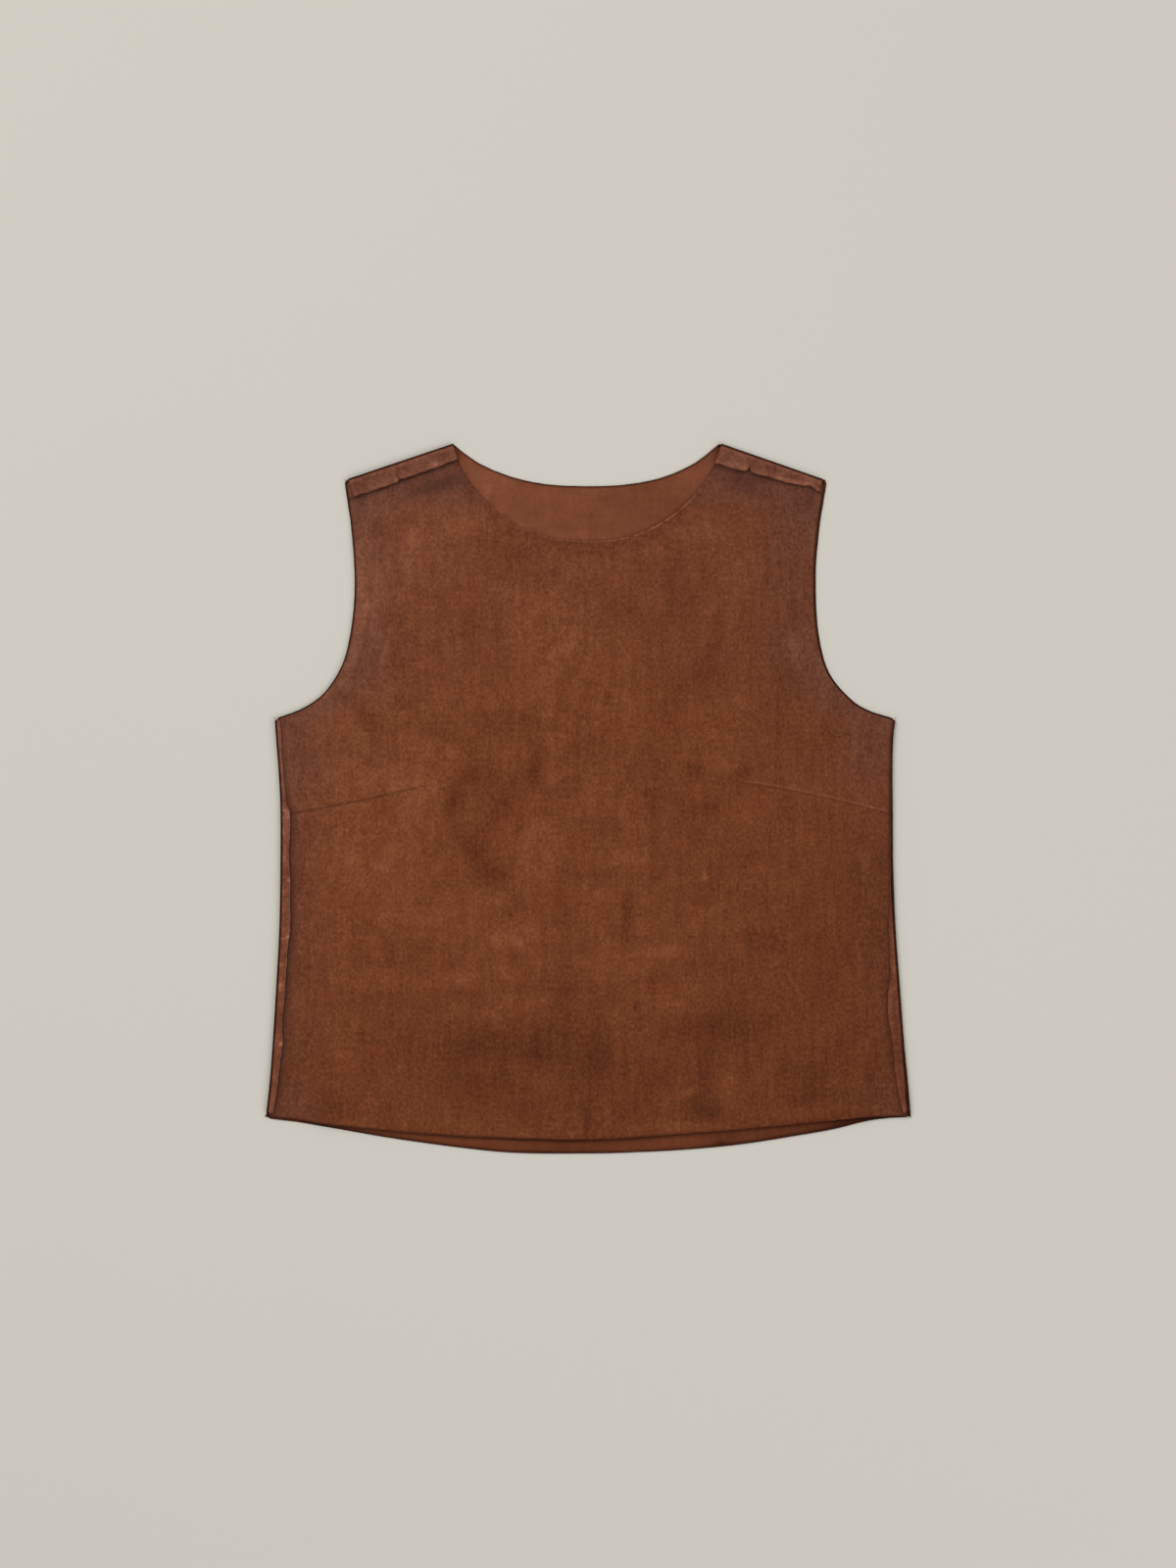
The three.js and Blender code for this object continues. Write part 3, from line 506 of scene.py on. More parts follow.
def napAndLightAt(x, y):
    # the nap's patches, with painted light falloff: darker to the right and below
    broad = napAndLightTrend["right"] * smooth(x, *napAndLightTrend["rightFrom"])
    broad += napAndLightTrend["low"] * (1 - smooth(y, *napAndLightTrend["lowTo"]))
    broad += napAndLightTrend["high"] * smooth(y, *napAndLightTrend["highFrom"])
    across, below = fromNeck(x, y)
    broad += napAndLightTrend["neck"] * bell(below, napAndLightTrend["neckWidth"]) * (np.abs(across) < 1)
    beyond, strength = rollAt(x, y)
    rolled = napAndLightTrend["roll"] * strength * smooth(beyond, *napAndLightTrend["rollFrom"])
    return creaseRelief(x, y, darkPatches + lightPatches) + broad + rolled


def shadeAt(x, y):
    return np.clip(creaseRelief(x, y, paintedShadePatches) + besideStrips(x, y) + besideShoulders(x, y), 0, 1)


def bandAt(band, inward, y):
    share = np.ones_like(y)
    if "across" in band:
        share = share * (1 - smooth(inward, *band["across"]))
    if "up" in band:
        share = share * smooth(y, *band["up"])
    if "down" in band:
        share = share * (1 - smooth(y, *band["down"]))
    return share


def coolAt(x, y):
    # greyer near the armholes, the sides and the shoulders than down the middle
    inward = np.where(x < 0, halfWidthAt("left", y) + x, halfWidthAt("right", y) - x)
    part = {
        name: np.where(x < 0, *band["amount"]) * bandAt(band, inward, y) for name, band in coolBands.items()
    }
    part["side"] = part["side"] * (1 - part.pop("rightDip"))
    return np.clip(sum(part.values()), 0, 1)


def besideStrips(x, y):
    # the shadow beside the turned side allowances
    total, reach = np.zeros_like(x), tableAt(stripShadow["reach"], y)
    for side, rows in (("left", sideLeftRows), ("right", sideRightRows)):
        beyond = np.maximum(halfWidthAt(side, y) - np.abs(x) - tableAt(rows, y / underarmHeight), 0)
        near = tableAt(stripShadow[side], y) * bell(beyond, reach) * (y < underarmHeight)
        total = np.where(x * sides[side] > 0, near, total)
    return total


def besideShoulders(x, y):
    # and close below the turned shoulder allowances
    shadow, total = shoulderShadow, np.zeros_like(x)
    for side, rows in (("left", shoulderLeftRows), ("right", shoulderRightRows)):
        start, end = shoulderLine[side][0], shoulderLine[side][-1]
        length = np.linalg.norm(end - start)
        along = (end - start) / length
        share = ((x - start[0]) * along[0] + (y - start[1]) * along[1]) / length
        inward = ((x - start[0]) * along[1] - (y - start[1]) * along[0]) * -sides[side]
        beyond = inward - tableAt(rows, share)
        soft = shadow["soft"] * (1 if side == "left" else smooth(share, *shadow["rightFrom"]))
        near = shadow["line"] * bell(beyond - shadow["lineAt"], shadow["lineWidth"])
        near = near + soft * bell(np.maximum(beyond, 0), shadow["softWidth"])
        total = np.where((x * sides[side] > shadow["outside"]) & (y > shadow["above"]), near, total)
    return total


def dartHighlightAndShade(x, y):
    # painted shade as a dark line along the left dart, and along the right one a painted highlight on its
    # ridge with painted shade under it
    look, total = dartHighlightAndShadeLook, np.zeros_like(x)
    for side, dart in darts.items():
        share, height = dartHeightAt(dart, side, x)
        above = y - height
        if side == "left":
            line = look["leftLine"] * bell(above, look["leftWidth"])
        else:
            line = look["rightRidge"] * bell(above, look["rightWidth"])
            line = line + look["rightUnder"] * bell(above + look["rightDrop"], look["rightWidth"])
        fade = smooth(1 - share, 0, look[side + "Fade"])
        total = total + np.where((share > 0) & (share < 1), line * fade, 0)
    return total


print("outline, folds and nap set")

# cloth


def addPiece(name, points, faces, values, material):
    mesh = bpy.data.meshes.new(name)
    world = np.array(points, float)
    world[:, 1] += shiftY
    mesh.from_pydata((world * mm).tolist(), [], [list(f) for f in faces])
    mesh.polygons.foreach_set("use_smooth", [True] * len(mesh.polygons))
    for key, numbers in values.items():
        mesh.attributes.new(key, "FLOAT", "POINT").data.foreach_set("value", np.asarray(numbers, np.float32))
    mesh.materials.append(material)
    mesh.update()
    piece = bpy.data.objects.new(name, mesh)
    scene.collection.objects.link(piece)
    return piece


def blend(low, high, left, right):
    # points between four edges that share their corners
    u = (runOf(low) / runOf(low)[-1] + runOf(high) / runOf(high)[-1])[None, :, None] / 2
    v = (runOf(left) / runOf(left)[-1] + runOf(right) / runOf(right)[-1])[:, None, None] / 2
    across = (1 - u) * left[:, None] + u * right[:, None]
    upward = (1 - v) * low[None] + v * high[None]
    corners = (1 - v) * ((1 - u) * low[0] + u * low[-1]) + v * ((1 - u) * high[0] + u * high[-1])
    return across + upward - corners


def edgesOf(side, cut, steps):
    line, hole, shoulder = seamLine[side], armholeLine[side], shoulderLine[side]
    seamIn, holeIn = inwardOf(line, side), inwardOf(hole, side)
    along = shoulder[-1] - shoulder[0]
    shoulderIn = np.array([along[1], -along[0]]) / np.linalg.norm(along) * -sides[side]
    insetSeam = line + seamIn * cut["seamInset"]
    insetHole = hole + holeIn * cut["armholeInset"]
    dart = shareAtHeight(line, darts[side]["endHeight"])
    close = np.array(cut["besideDart"]) / runOf(line)[-1]
    chest = shareAtHeight(hole, steps["chestHeight"])
    yoke = shareAtHeight(hole, steps["yokeHeight"])
    underarm = insetSeam[-1] + holeIn[0] * cut["armholeInset"]
    tip = hole[-1] + shoulderIn * cut["seamInset"] + holeIn[-1] * cut["armholeInset"]
    neckEnd = shoulder[-1] + shoulderIn * cut["seamInset"]
    neckShares = np.linspace(steps["neckStrapShare"], 0, steps["strap"] + 1)
    neckEdge = neckLine(neckShares if side == "left" else 1 - neckShares, cut["neck"])
    neckEdge[-1] = neckEnd
    skirt = np.linspace(0, 1, steps["skirt"]) ** steps["hemward"] * (dart - close[1])
    skirt = np.append(skirt, [dart - close[0], dart])
    rise = np.append([dart, dart + close[0]], np.linspace(dart + close[1], 1, steps["side"]))
    edges = {
        "skirt": pointsAt(insetSeam, skirt),
        "side": pointsAt(insetSeam, rise),
        "underarm": pointsAt(insetHole, np.linspace(0, chest, steps["underarm"] + 1)),
        "chest": pointsAt(insetHole, np.linspace(chest, yoke, steps["chest"] + 1)),
        "strap": pointsAt(insetHole, np.linspace(yoke, 1, steps["strap"] + 1)),
        "shoulder": np.linspace(tip, neckEnd, steps["shoulder"] + 1),
        "neck": neckEdge,
    }
    edges["side"][-1] = underarm
    edges["underarm"][0] = underarm
    edges["strap"][-1] = tip
    return edges


def panelBlocks(cut, steps):
    left, right = (edgesOf(side, cut, steps) for side in sides)
    outer = steps["underarm"] + steps["shoulder"]
    whole = 2 * outer + steps["neck"]
    hemX = np.linspace(left["skirt"][0][0], right["skirt"][0][0], whole + 1)
    hem = np.stack([hemX, np.interp(hemX, cut["hem"][:, 0], cut["hem"][:, 1])], axis=1)
    hem[0], hem[-1] = left["skirt"][0], right["skirt"][0]

    def dartRow(side, edges):
        x = np.linspace(edges["skirt"][-1][0], darts[side]["tip"][0], outer + 1)
        row = np.stack([x, dartHeightAt(darts[side], side, x)[1]], axis=1)
        row[0] = edges["skirt"][-1]
        return row

    leftDart, rightDart = dartRow("left", left), dartRow("right", right)[::-1]
    dart = np.vstack([leftDart, np.linspace(leftDart[-1], rightDart[0], steps["neck"] + 1)[1:-1], rightDart])
    chest = np.linspace(left["chest"][0], right["chest"][0], 2 * steps["shoulder"] + steps["neck"] + 1)
    underarms = np.vstack([left["underarm"][:-1], chest, right["underarm"][::-1][1:]])
    leftYoke = np.linspace(left["chest"][-1], left["neck"][0], steps["shoulder"] + 1)
    rightYoke = np.linspace(right["neck"][0], right["chest"][-1], steps["shoulder"] + 1)
    strapShare = steps["neckStrapShare"]
    scoop = neckLine(np.linspace(strapShare, 1 - strapShare, steps["neck"] + 1), cut["neck"])
    yoke = np.vstack([leftYoke[:-1], scoop, rightYoke[1:]])
    return [
        blend(hem, dart, left["skirt"], right["skirt"]),
        blend(dart, underarms, left["side"], right["side"]),
        blend(chest, yoke, left["chest"], right["chest"]),
        blend(leftYoke, left["shoulder"], left["strap"], left["neck"]),
        blend(rightYoke, right["shoulder"][::-1], right["neck"], right["strap"]),
    ]


rimShape = {
    "rounding": 0.4, "inner": 1.2, "innerBand": 0.6, "fullBand": 1.5, "bandShare": 0.65,
    "cornerBend": (0.6, 1.2),
    "waves": [(0.5, 2.3, 0), (0.3, 1.1, 2), (0.5, 6.7, 1)],  # size, span, start
}


def weld(blocks):
    # one layer of points from grids that share their edges, and its quads
    ids, flat, quads = {}, [], []
    offLimit = 0.00021  # keeps tidy numbers off the rounding's limit, where a shared point would split
    for grid in blocks:
        numbers = np.empty(grid.shape[:2], int)
        for j, i in np.ndindex(*numbers.shape):
            key = (round(grid[j, i, 0] + offLimit, 3), round(grid[j, i, 1] + offLimit, 3))
            if key not in ids:
                ids[key] = len(flat)
                flat.append(grid[j, i])
            numbers[j, i] = ids[key]
        corners = [numbers[:-1, :-1], numbers[:-1, 1:], numbers[1:, 1:], numbers[1:, :-1]]
        quads += np.stack(corners, axis=-1).reshape(-1, 4).tolist()
    return np.array(flat), quads


def borderOf(quads):
    # the sides of the quads, and the points of the border in order
    follows = {(a, b): True for quad in quads for a, b in zip(quad, quad[1:] + quad[:1])}
    border = {a: b for a, b in follows if (b, a) not in follows}
    loop = [next(iter(border))]
    while border[loop[-1]] != loop[0]:
        loop.append(border[loop[-1]])
    return follows, loop


def clothShell(name, blocks, underAt, rim, valuesAt, rimTone, material):
    flat, quads = weld(blocks)
    follows, loop = borderOf(quads)
    edge = flat[loop]
    ahead = np.roll(edge, -1, axis=0) - edge
    ahead /= np.linalg.norm(ahead, axis=1)[:, None]
    square = np.stack([ahead[:, 1], -ahead[:, 0]], axis=1)
    out = square + np.roll(square, 1, axis=0)
    out /= np.linalg.norm(out, axis=1)[:, None]
    bend = np.arccos(np.clip((square * np.roll(square, 1, axis=0)).sum(axis=1), -1, 1))
    edge -= out * (rim["corner"] * smooth(bend, *rimShape["cornerBend"]) - rim["spreadAt"](edge))[:, None]
    # the band beside the edge is narrower where the next row of points is close
    room = np.full(len(flat), 10.0)
    outOf = np.zeros_like(flat)
    outOf[loop] = out
    isEdge = np.zeros(len(flat), bool)
    isEdge[loop] = True
    links = np.array([pair for pair in follows if isEdge[pair[0]] and not isEdge[pair[1]]])
    apart = ((flat[links[:, 0]] - flat[links[:, 1]]) * outOf[links[:, 0]]).sum(axis=1)
    np.minimum.at(room, links[:, 0], apart)
    band = np.minimum(rim["band"], rimShape["bandShare"] * room[loop])
    run = runOf(edge)
    ragged = rim["ragged"] * ripple(run, rimShape["waves"]) * rim["raggedAt"](edge)
    under = underAt(edge[:, 0], edge[:, 1])
    tone = rimTone(edge)
    flat[loop] = edge - out * band[:, None]

    count = len(flat)
    low = underAt(flat[:, 0], flat[:, 1])
    points = [np.column_stack([flat, low + leather]), np.column_stack([flat, low])]
    values = {key: [v, v] for key, v in valuesAt(flat[:, 0], flat[:, 1]).items()}
    edgeValues = valuesAt(edge[:, 0], edge[:, 1])
    r = rimShape["rounding"]
    # inset from the edge, height above the underside, share of the edge's tone, which is its own dark colour
    # with painted shade, shadow and highlight
    rings = [
        (rimShape["inner"], leather, rim["innerShare"](edge)), (r, leather, 0.95),
        (0.25 * r, leather - 0.3 * r, 1), (0, leather - r, 1), (0, r, 1), (0.25 * r, 0.3 * r, 1), (r, 0, 1),
    ]
    for inset, rise, share in rings:
        rough = ragged if inset < r else np.maximum(ragged, 0)
        inward = (inset + rough) * np.minimum(band / rimShape["fullBand"], 1)
        inward = np.minimum(inset, rimShape["innerBand"] * band) if inset > r else inward
        points.append(np.column_stack([edge - out * inward[:, None], under + rise]))
        for key in values:
            values[key].append(edgeValues[key] + (share * tone if key == "line" else 0))
    faces = quads + [[a + count for a in quad[::-1]] for quad in quads]
    size = len(loop)
    ringIds = [2 * count + size * n + np.arange(size) for n in range(len(rings))]
    ringIds = [np.array(loop)] + ringIds + [np.array(loop) + count]
    for upper, lower in zip(ringIds, ringIds[1:]):
        faces += np.stack([upper, lower, np.roll(lower, -1), np.roll(upper, -1)], axis=1).tolist()
    joined = {key: np.concatenate(parts) for key, parts in values.items()}
    return addPiece(name, np.vstack(points), faces, joined, material)


# materials


def addNode(tree, kind, sockets=(), **settings):
    # a node with its settings, and its sockets set to a value or fed from another node
    made = tree.nodes.new(kind)
    for key, value in settings.items():
        setattr(made, key, value)
    for key, value in dict(sockets).items():
        if isinstance(value, bpy.types.NodeSocket):
            tree.links.new(value, made.inputs[key])
        else:
            made.inputs[key].default_value = value
    return made.outputs


def linear(r, g, b):
    return tuple(((c / 255 + 0.055) / 1.055) ** 2.4 if c > 10 else c / 255 / 12.92 for c in (r, g, b)) + (1,)


rampPlaces = (0, 0.28, 0.5, 0.72, 1)


def makeSuede(name, look):
    material = bpy.data.materials.new(name)
    material.use_nodes = True
    tree = material.node_tree
    tree.nodes.clear()

    def sum2(operation, first, second):
        return addNode(tree, "ShaderNodeMath", {0: first, 1: second}, operation=operation)[0]

    def varied(source, by, amount, middle):
        # an attribute or share that a noise makes uneven
        return sum2("MULTIPLY", source, sum2("ADD", sum2("MULTIPLY", by, amount), middle))

    def attribute(key):
        return addNode(tree, "ShaderNodeAttribute", attribute_name=key)["Fac"]

    def noise(scale, stretch, detail=3.0, roughness=0.55, offset=(0, 0, 0)):
        place = {"Vector": coordinates, "Scale": stretch, "Location": offset}
        vector = addNode(tree, "ShaderNodeMapping", place)[0]
        sizes = {"Vector": vector, "Scale": scale, "Detail": detail, "Roughness": roughness}
        return sum2("SUBTRACT", addNode(tree, "ShaderNodeTexNoise", sizes)["Fac"], 0.5)

    def mix(share, first, second):
        return addNode(tree, "ShaderNodeMix", {0: share, 6: first, 7: second}, data_type="RGBA")[2]

    def ramped(share, colours):
        made = tree.nodes.new("ShaderNodeValToRGB")
        tree.links.new(share, made.inputs[0])
        stops = made.color_ramp.elements
        while len(stops) < len(colours):
            stops.new(0.5)
        for stop, place, colour in zip(stops, rampPlaces, colours):
            stop.position = place
            stop.color = linear(*colour)
        return made.outputs[0]

    coordinates = addNode(tree, "ShaderNodeTexCoord")["Object"]
    clouds = noise(look["cloudScale"], (1, 1, 1), 4, 0.6)
    mottle = noise(look["mottleScale"], (1, 1, 1), 3, 0.6, (3, 1, 2))
    brushed = noise(look["streakScale"], (1, 0.16, 1), 3, 0.6, (1, 5, 0))
    crosswise = noise(look["streakScale"], (0.16, 1, 1), 3, 0.6, (6, 2, 0))
    grain = noise(look["grainScale"], (1.1, 0.8, 1), 2, 0.6, (2, 7, 1))

    # the nap attribute holds the nap's own tone, with painted light falloff on the front and painted shade
    # below the front's hem on the back
    tone = sum2("MULTIPLY", varied(attribute("nap"), mottle, 1.6, 1.0), look["nap"])
    parts = {"clouds": clouds, "mottle": mottle, "streaks": brushed, "crosswise": crosswise, "grain": grain}
    for key, part in parts.items():
        tone = sum2("ADD", tone, sum2("MULTIPLY", part, look[key]))
    tone = sum2("ADD", tone, 0.5)
    warmth = noise(look["cloudScale"] * 1.7, (1, 1, 1), 4, 0.65, (9, 4, 3))
    warm = sum2("MAXIMUM", sum2("MULTIPLY", warmth, look["red"]), 0)
    colour = mix(warm, ramped(tone, look["colours"]), linear(*look["redColour"]))
    colour = mix(varied(attribute("cool"), clouds, 0.8, 1.0), colour, ramped(tone, look["coolColours"]))
    # shade is painted shade and shadow; line holds dark cut edges with painted shade, painted shadow lines
    # and painted highlights
    colour = mix(varied(attribute("shade"), mottle, 0.9, 0.85), colour, linear(*look["shadeColour"]))
    line = varied(attribute("line"), grain, 1.2, 1.0)
    colour = mix(sum2("MAXIMUM", sum2("MULTIPLY", line, -1), 0), colour, linear(*look["edgeDark"]))
    colour = mix(sum2("MAXIMUM", line, 0), colour, linear(*look["edgeLight"]))

    height = sum2("ADD", sum2("MULTIPLY", grain, 0.6), sum2("MULTIPLY", brushed, 0.25))
    height = sum2("ADD", height, sum2("MULTIPLY", mottle, 0.3))
    bump = {"Strength": look["bump"], "Distance": look["bumpHeight"], "Height": height}
    shader = addNode(tree, "ShaderNodeBsdfPrincipled", {
        "Base Color": colour, "Normal": addNode(tree, "ShaderNodeBump", bump)[0],
        "Roughness": look["roughness"], "Specular IOR Level": look["specular"],
        "Sheen Weight": look["sheen"], "Sheen Roughness": 0.5, "Sheen Tint": linear(*look["sheenColour"]),
    })
    addNode(tree, "ShaderNodeOutputMaterial", {"Surface": shader[0]})
    return material


frontSuede = {
    "colours": [(66, 33, 17), (92, 47.5, 25), (112, 60.5, 35), (130, 75.5, 48), (156, 98, 70)],
    "coolColours": [(66, 37, 27), (88, 52, 38), (107, 66, 50), (124, 79, 62), (150, 101, 82)],
    "shadeColour": (62, 37, 30),
    "redColour": (124, 54, 30), "red": 0.9,
    # edgeDark: dark cut edges, painted shade and painted shadow lines; edgeLight: painted highlights on edges
    # and ridges facing the key light, and light raw edges
    "edgeDark": (42, 18, 9),
    "edgeLight": (150, 92, 66),
    "cloudScale": 26, "mottleScale": 110, "streakScale": 190, "grainScale": 430,
    "nap": 0.27, "clouds": 0.26, "mottle": 0.36, "streaks": 0.32, "crosswise": 0.14, "grain": 0.76,
    "bump": 0.45, "bumpHeight": 0.0006,
    "roughness": 0.95, "specular": 0.06, "sheen": 0.03, "sheenColour": (150, 80, 50),
}
backSuede = dict(
    frontSuede,
    colours=[(70, 36, 20), (98, 53, 32), (114, 63, 40), (126, 72, 47), (142, 85, 58)],
    clouds=0.22, mottle=0.2, streaks=0.14, crosswise=0.16, grain=0.3, bump=0.25, nap=0.3, red=0.4,
)
turnedSuede = dict(
    backSuede,
    colours=[(60, 31, 20), (88, 46, 29), (108, 59, 40), (126, 74, 52), (168, 116, 88)],
    coolColours=[(60, 33, 24), (86, 51, 38), (108, 66, 50), (126, 80, 62), (168, 116, 92)],
    edgeLight=(158, 102, 76),
    clouds=0.3, mottle=0.6, streaks=0.2, crosswise=0.3, grain=0.6, nap=0.3, red=0.5,
)
suede = {
    "front": makeSuede("front_suede", frontSuede),
    "back": makeSuede("back_suede", backSuede),
    "turned": makeSuede("turned_suede", turnedSuede),
}
print("materials made")

# panels

steps = {
    "underarm": 15, "shoulder": 30, "neck": 72,
    "skirt": 78, "side": 27, "chest": 52, "strap": 22,
    "chestHeight": 335, "yokeHeight": 468, "neckStrapShare": 0.235,
    "hemward": 1,  # above 1 the rows lie closer together near the hem
}
frontCut = {
    "seamInset": 1.5, "armholeInset": 0.3, "hem": hemLine["front"], "neck": neck["front"],
    "besideDart": (1.2, 3.2),
}
backCut = dict(frontCut, seamInset=0, armholeInset=0, hem=hemLine["back"], neck=neck["back"])
frontRim = {
    # tone of the cut edge: along the underarm, elsewhere, and by height or x; its dark is the cut edge's own
    # colour with painted shade where the edge rounds away
    "underarm": -1.1, "plain": -0.85,
    # along the neck, painted highlight on the right, where the edge faces the key light, and painted shade on
    # the left
    "neck": [
        (-106, -0.7), (-97, -0.1), (-88, 0.05), (-60, 0.15), (-30, 0.35), (0, 0.6), (25, 0.5), (38, 0.6),
        (62, 1.05), (78, 0.9), (90, 0.15), (106, -0.3),
    ],
    "rightSide": [(205, -0.05), (225, -0.75), (285, -0.75), (305, -0.05)],
    # along the hem, painted shadow of the lifted hem, with the dark edge
    "hem": [
        (-236, -0.25), (-215, -0.4), (-190, -0.75), (-172, -0.5), (-138, -0.45), (-58, -0.55), (42, -0.5),
        (80, -0.35), (190, -0.15), (207, -0.15), (218, -0.6), (240, -0.9),
    ],
    # roll: painted shade in the groove of the left armhole's roll
    "roll": -0.17, "rollWidth": 1.1,
}


def nearNeck(points):
    across, below = fromNeck(points[:, 0], points[:, 1])
    return (np.abs(across) < 0.995) & (np.abs(below) < 1)


def frontRimTone(points):
    x, y = points[:, 0], points[:, 1]
    tone = np.where((y > 312) & (y < 352), frontRim["underarm"], frontRim["plain"])
    # along the neck, a painted highlight broken up by flicker, and painted shade where the table is below 0
    onNeck = tableAt(frontRim["neck"], x)
    flicker = 0.7 + 0.5 * np.sin(x / 1.3) * np.sin(x / 3.7 + 1) + 0.25 * np.sin(x / 0.8)
    tone = np.where(nearNeck(points), np.where(onNeck > 0, onNeck * flicker, onNeck), tone)
    tone = np.where((x > 0) & (y > 150) & (y < 312), tableAt(frontRim["rightSide"], y), tone)
    return np.where(y < 2, tableAt(frontRim["hem"], x), tone)


def frontValues(x, y):
    beyond, strength = rollAt(x, y)
    line = dartHighlightAndShade(x, y) + frontRim["roll"] * strength * bell(beyond, frontRim["rollWidth"])
    return {"nap": napAndLightAt(x, y), "shade": shadeAt(x, y), "line": line, "cool": coolAt(x, y)}


backEdge = {
    # x or height, how far the edge of the back lies outside the pattern's line
    "armholeLeft": [
        (313, -0.3), (321, -0.4), (331, -0.3), (359, -0.1), (376, 0.45), (409, 0.4), (443, 0.1), (477, 0.35),
        (501, 0.7),
    ],
    "armholeRight": [
        (313, -0.1), (325, 0.2), (343, 0), (358, 0.4), (374, 0.9), (408, 0.85), (443, 1.0), (477, 1.05),
        (501, 1.4),
    ],
    "neck": [
        (-103, 0.25), (-86, -0.15), (-70, 0.65), (-53, 0.75), (-18, 0.4), (0, 0.15), (35, 0.5), (69, 0.4),
        (85, 0.3), (99, 1.4),
    ],
    "hem": [
        (-250, 1.2), (-238, 1.4), (-198, 0.4), (-159, 0.65), (-39, 0.6), (40, 0), (79, 0.45), (119, 0.75),
        (159, 0.75), (198, 1.35), (238, 0.2),
    ],
    "seamRight": [(1, 0.2), (60, 0.2), (100, 0), (150, 0.15), (180, 0.35), (240, 0.3), (275, 0), (312, 0)],
}


def backSpread(points):
    x, y = points[:, 0], points[:, 1]
    at = {key: tableAt(rows, x if key in ("neck", "hem") else y) for key, rows in backEdge.items()}
    hole = np.where(x < 0, at["armholeLeft"], at["armholeRight"])
    spread = np.where(y < 1, at["hem"], np.where((np.abs(x) < 104) & (y > 490), at["neck"], hole))
    seam = np.where(x < 0, 0, at["seamRight"])
    return np.where((y > 1) & (y < 312), seam, np.where((np.abs(x) > 104) & (y > 502), 0, spread))


backLook = {
    # x with how dark the painted shade is below the front's hem, and how dark the painted shadow line close
    # to the hem is
    "shadeBelowHem": [
        (-225, 0.9), (-200, 1.2), (-135, 0.65), (-60, 0.8), (-15, 1.35), (20, 0.65), (85, 0.45), (110, 0.9),
        (150, 0.8), (180, 0.9), (205, 1.7), (218, 2.1),
    ],
    "shadowCloseToHem": [
        (-230, 0.75), (-190, 0.6), (-138, 0.6), (-58, 1), (42, 1), (122, 0.6), (190, 0.5), (206, 1.0),
        (218, 1.5),
    ],
    "shadowLine": -0.85, "shadowWidth": 1.7,
    "rawLine": -0.8, "rawWidth": 1.5,
    # overNeck: painted light on the back just beyond the front's neck edge, lifting that edge's shadow, a
    # little darker on the right
    "overNeck": [(-95, 0), (-80, 0.55), (-40, 0.6), (0, 0.7), (30, 0.35), (62, -0.1), (79, -0.2), (92, 0)],
    "overNeckAt": 0.5, "overNeckWidth": 3,
    "nap": 0.25, "rightward": -0.35, "rightFrom": (-20, 40), "cool": 0.3, "coolUp": (0, 300),
    "spots": [
        # x, y, width, height, tone
        # the dark spots at the neck points are painted shadow in the neck corners
        (-80, 498, 16, 14, 0.4), (82, 500, 16, 12, 0.45), (-103, 522, 5, 9, -1.1), (103, 525, 4.5, 7, -1.0),
        (104, -21, 5, 3, -0.8),
    ],
}


def backValues(x, y):
    # painted shade below the front's hem, darkest in a painted shadow line close to it, with dark and light
    # spots
    look, below = backLook, tableAt(hemRows, x) - y
    band = tableAt(look["shadeBelowHem"], x) * smooth(below, -6, 0)
    close = look["shadowLine"] * bell(np.maximum(below, 0), look["shadowWidth"])
    close = np.where(below > -8, close * tableAt(look["shadowCloseToHem"], x), 0)
    close = np.minimum(close, look["rawLine"] * bell(y - tableAt(hemRows, x, 2), look["rawWidth"]))
    nap = sum(tone * bell(x - cx, wide) * bell(y - cy, high) for cx, cy, wide, high, tone in look["spots"])
    above = -fromNeck(x, y)[1]
    nap += tableAt(look["overNeck"], x) * bell(above - look["overNeckAt"], look["overNeckWidth"])
    nap += look["nap"] + look["rightward"] * smooth(x, *look["rightFrom"])
    cool = look["cool"] * smooth(y, *look["coolUp"])
    return {"nap": nap - band, "shade": np.zeros_like(x), "line": close, "cool": cool}


frontPanel = clothShell(
    "frontPanel", panelBlocks(frontCut, steps), lambda x, y: levels["frontUnderside"] + frontRelief(x, y),
    {"band": 2.3, "corner": 0.6, "ragged": 0.22,
     "raggedAt": lambda p: nearNeck(p) | (p[:, 1] < 2), "spreadAt": lambda p: np.zeros(len(p)),
     "innerShare": lambda p: 0.5 + 0.45 * between(p[:, 1], (300, 312), (345, 375))},
    frontValues, frontRimTone, suede["front"],
)
backSteps = dict(steps, underarm=10, shoulder=24, neck=60, skirt=44, side=12, chest=24, strap=14, hemward=1.7)
backPanel = clothShell(
    # the back's edge is dark all round: its own dark cut edge with painted shade where it rounds away
    "backPanel", panelBlocks(backCut, backSteps), lambda x, y: np.zeros_like(x),
    {"band": 2.4, "corner": 1.5, "ragged": 0.08,
     "raggedAt": lambda p: np.ones(len(p)), "spreadAt": backSpread, "innerShare": lambda p: 0.5},
    backValues, lambda p: np.full(len(p), -0.9), suede["back"],
)
print("panels made:", len(frontPanel.data.polygons), len(backPanel.data.polygons))

# turned allowances

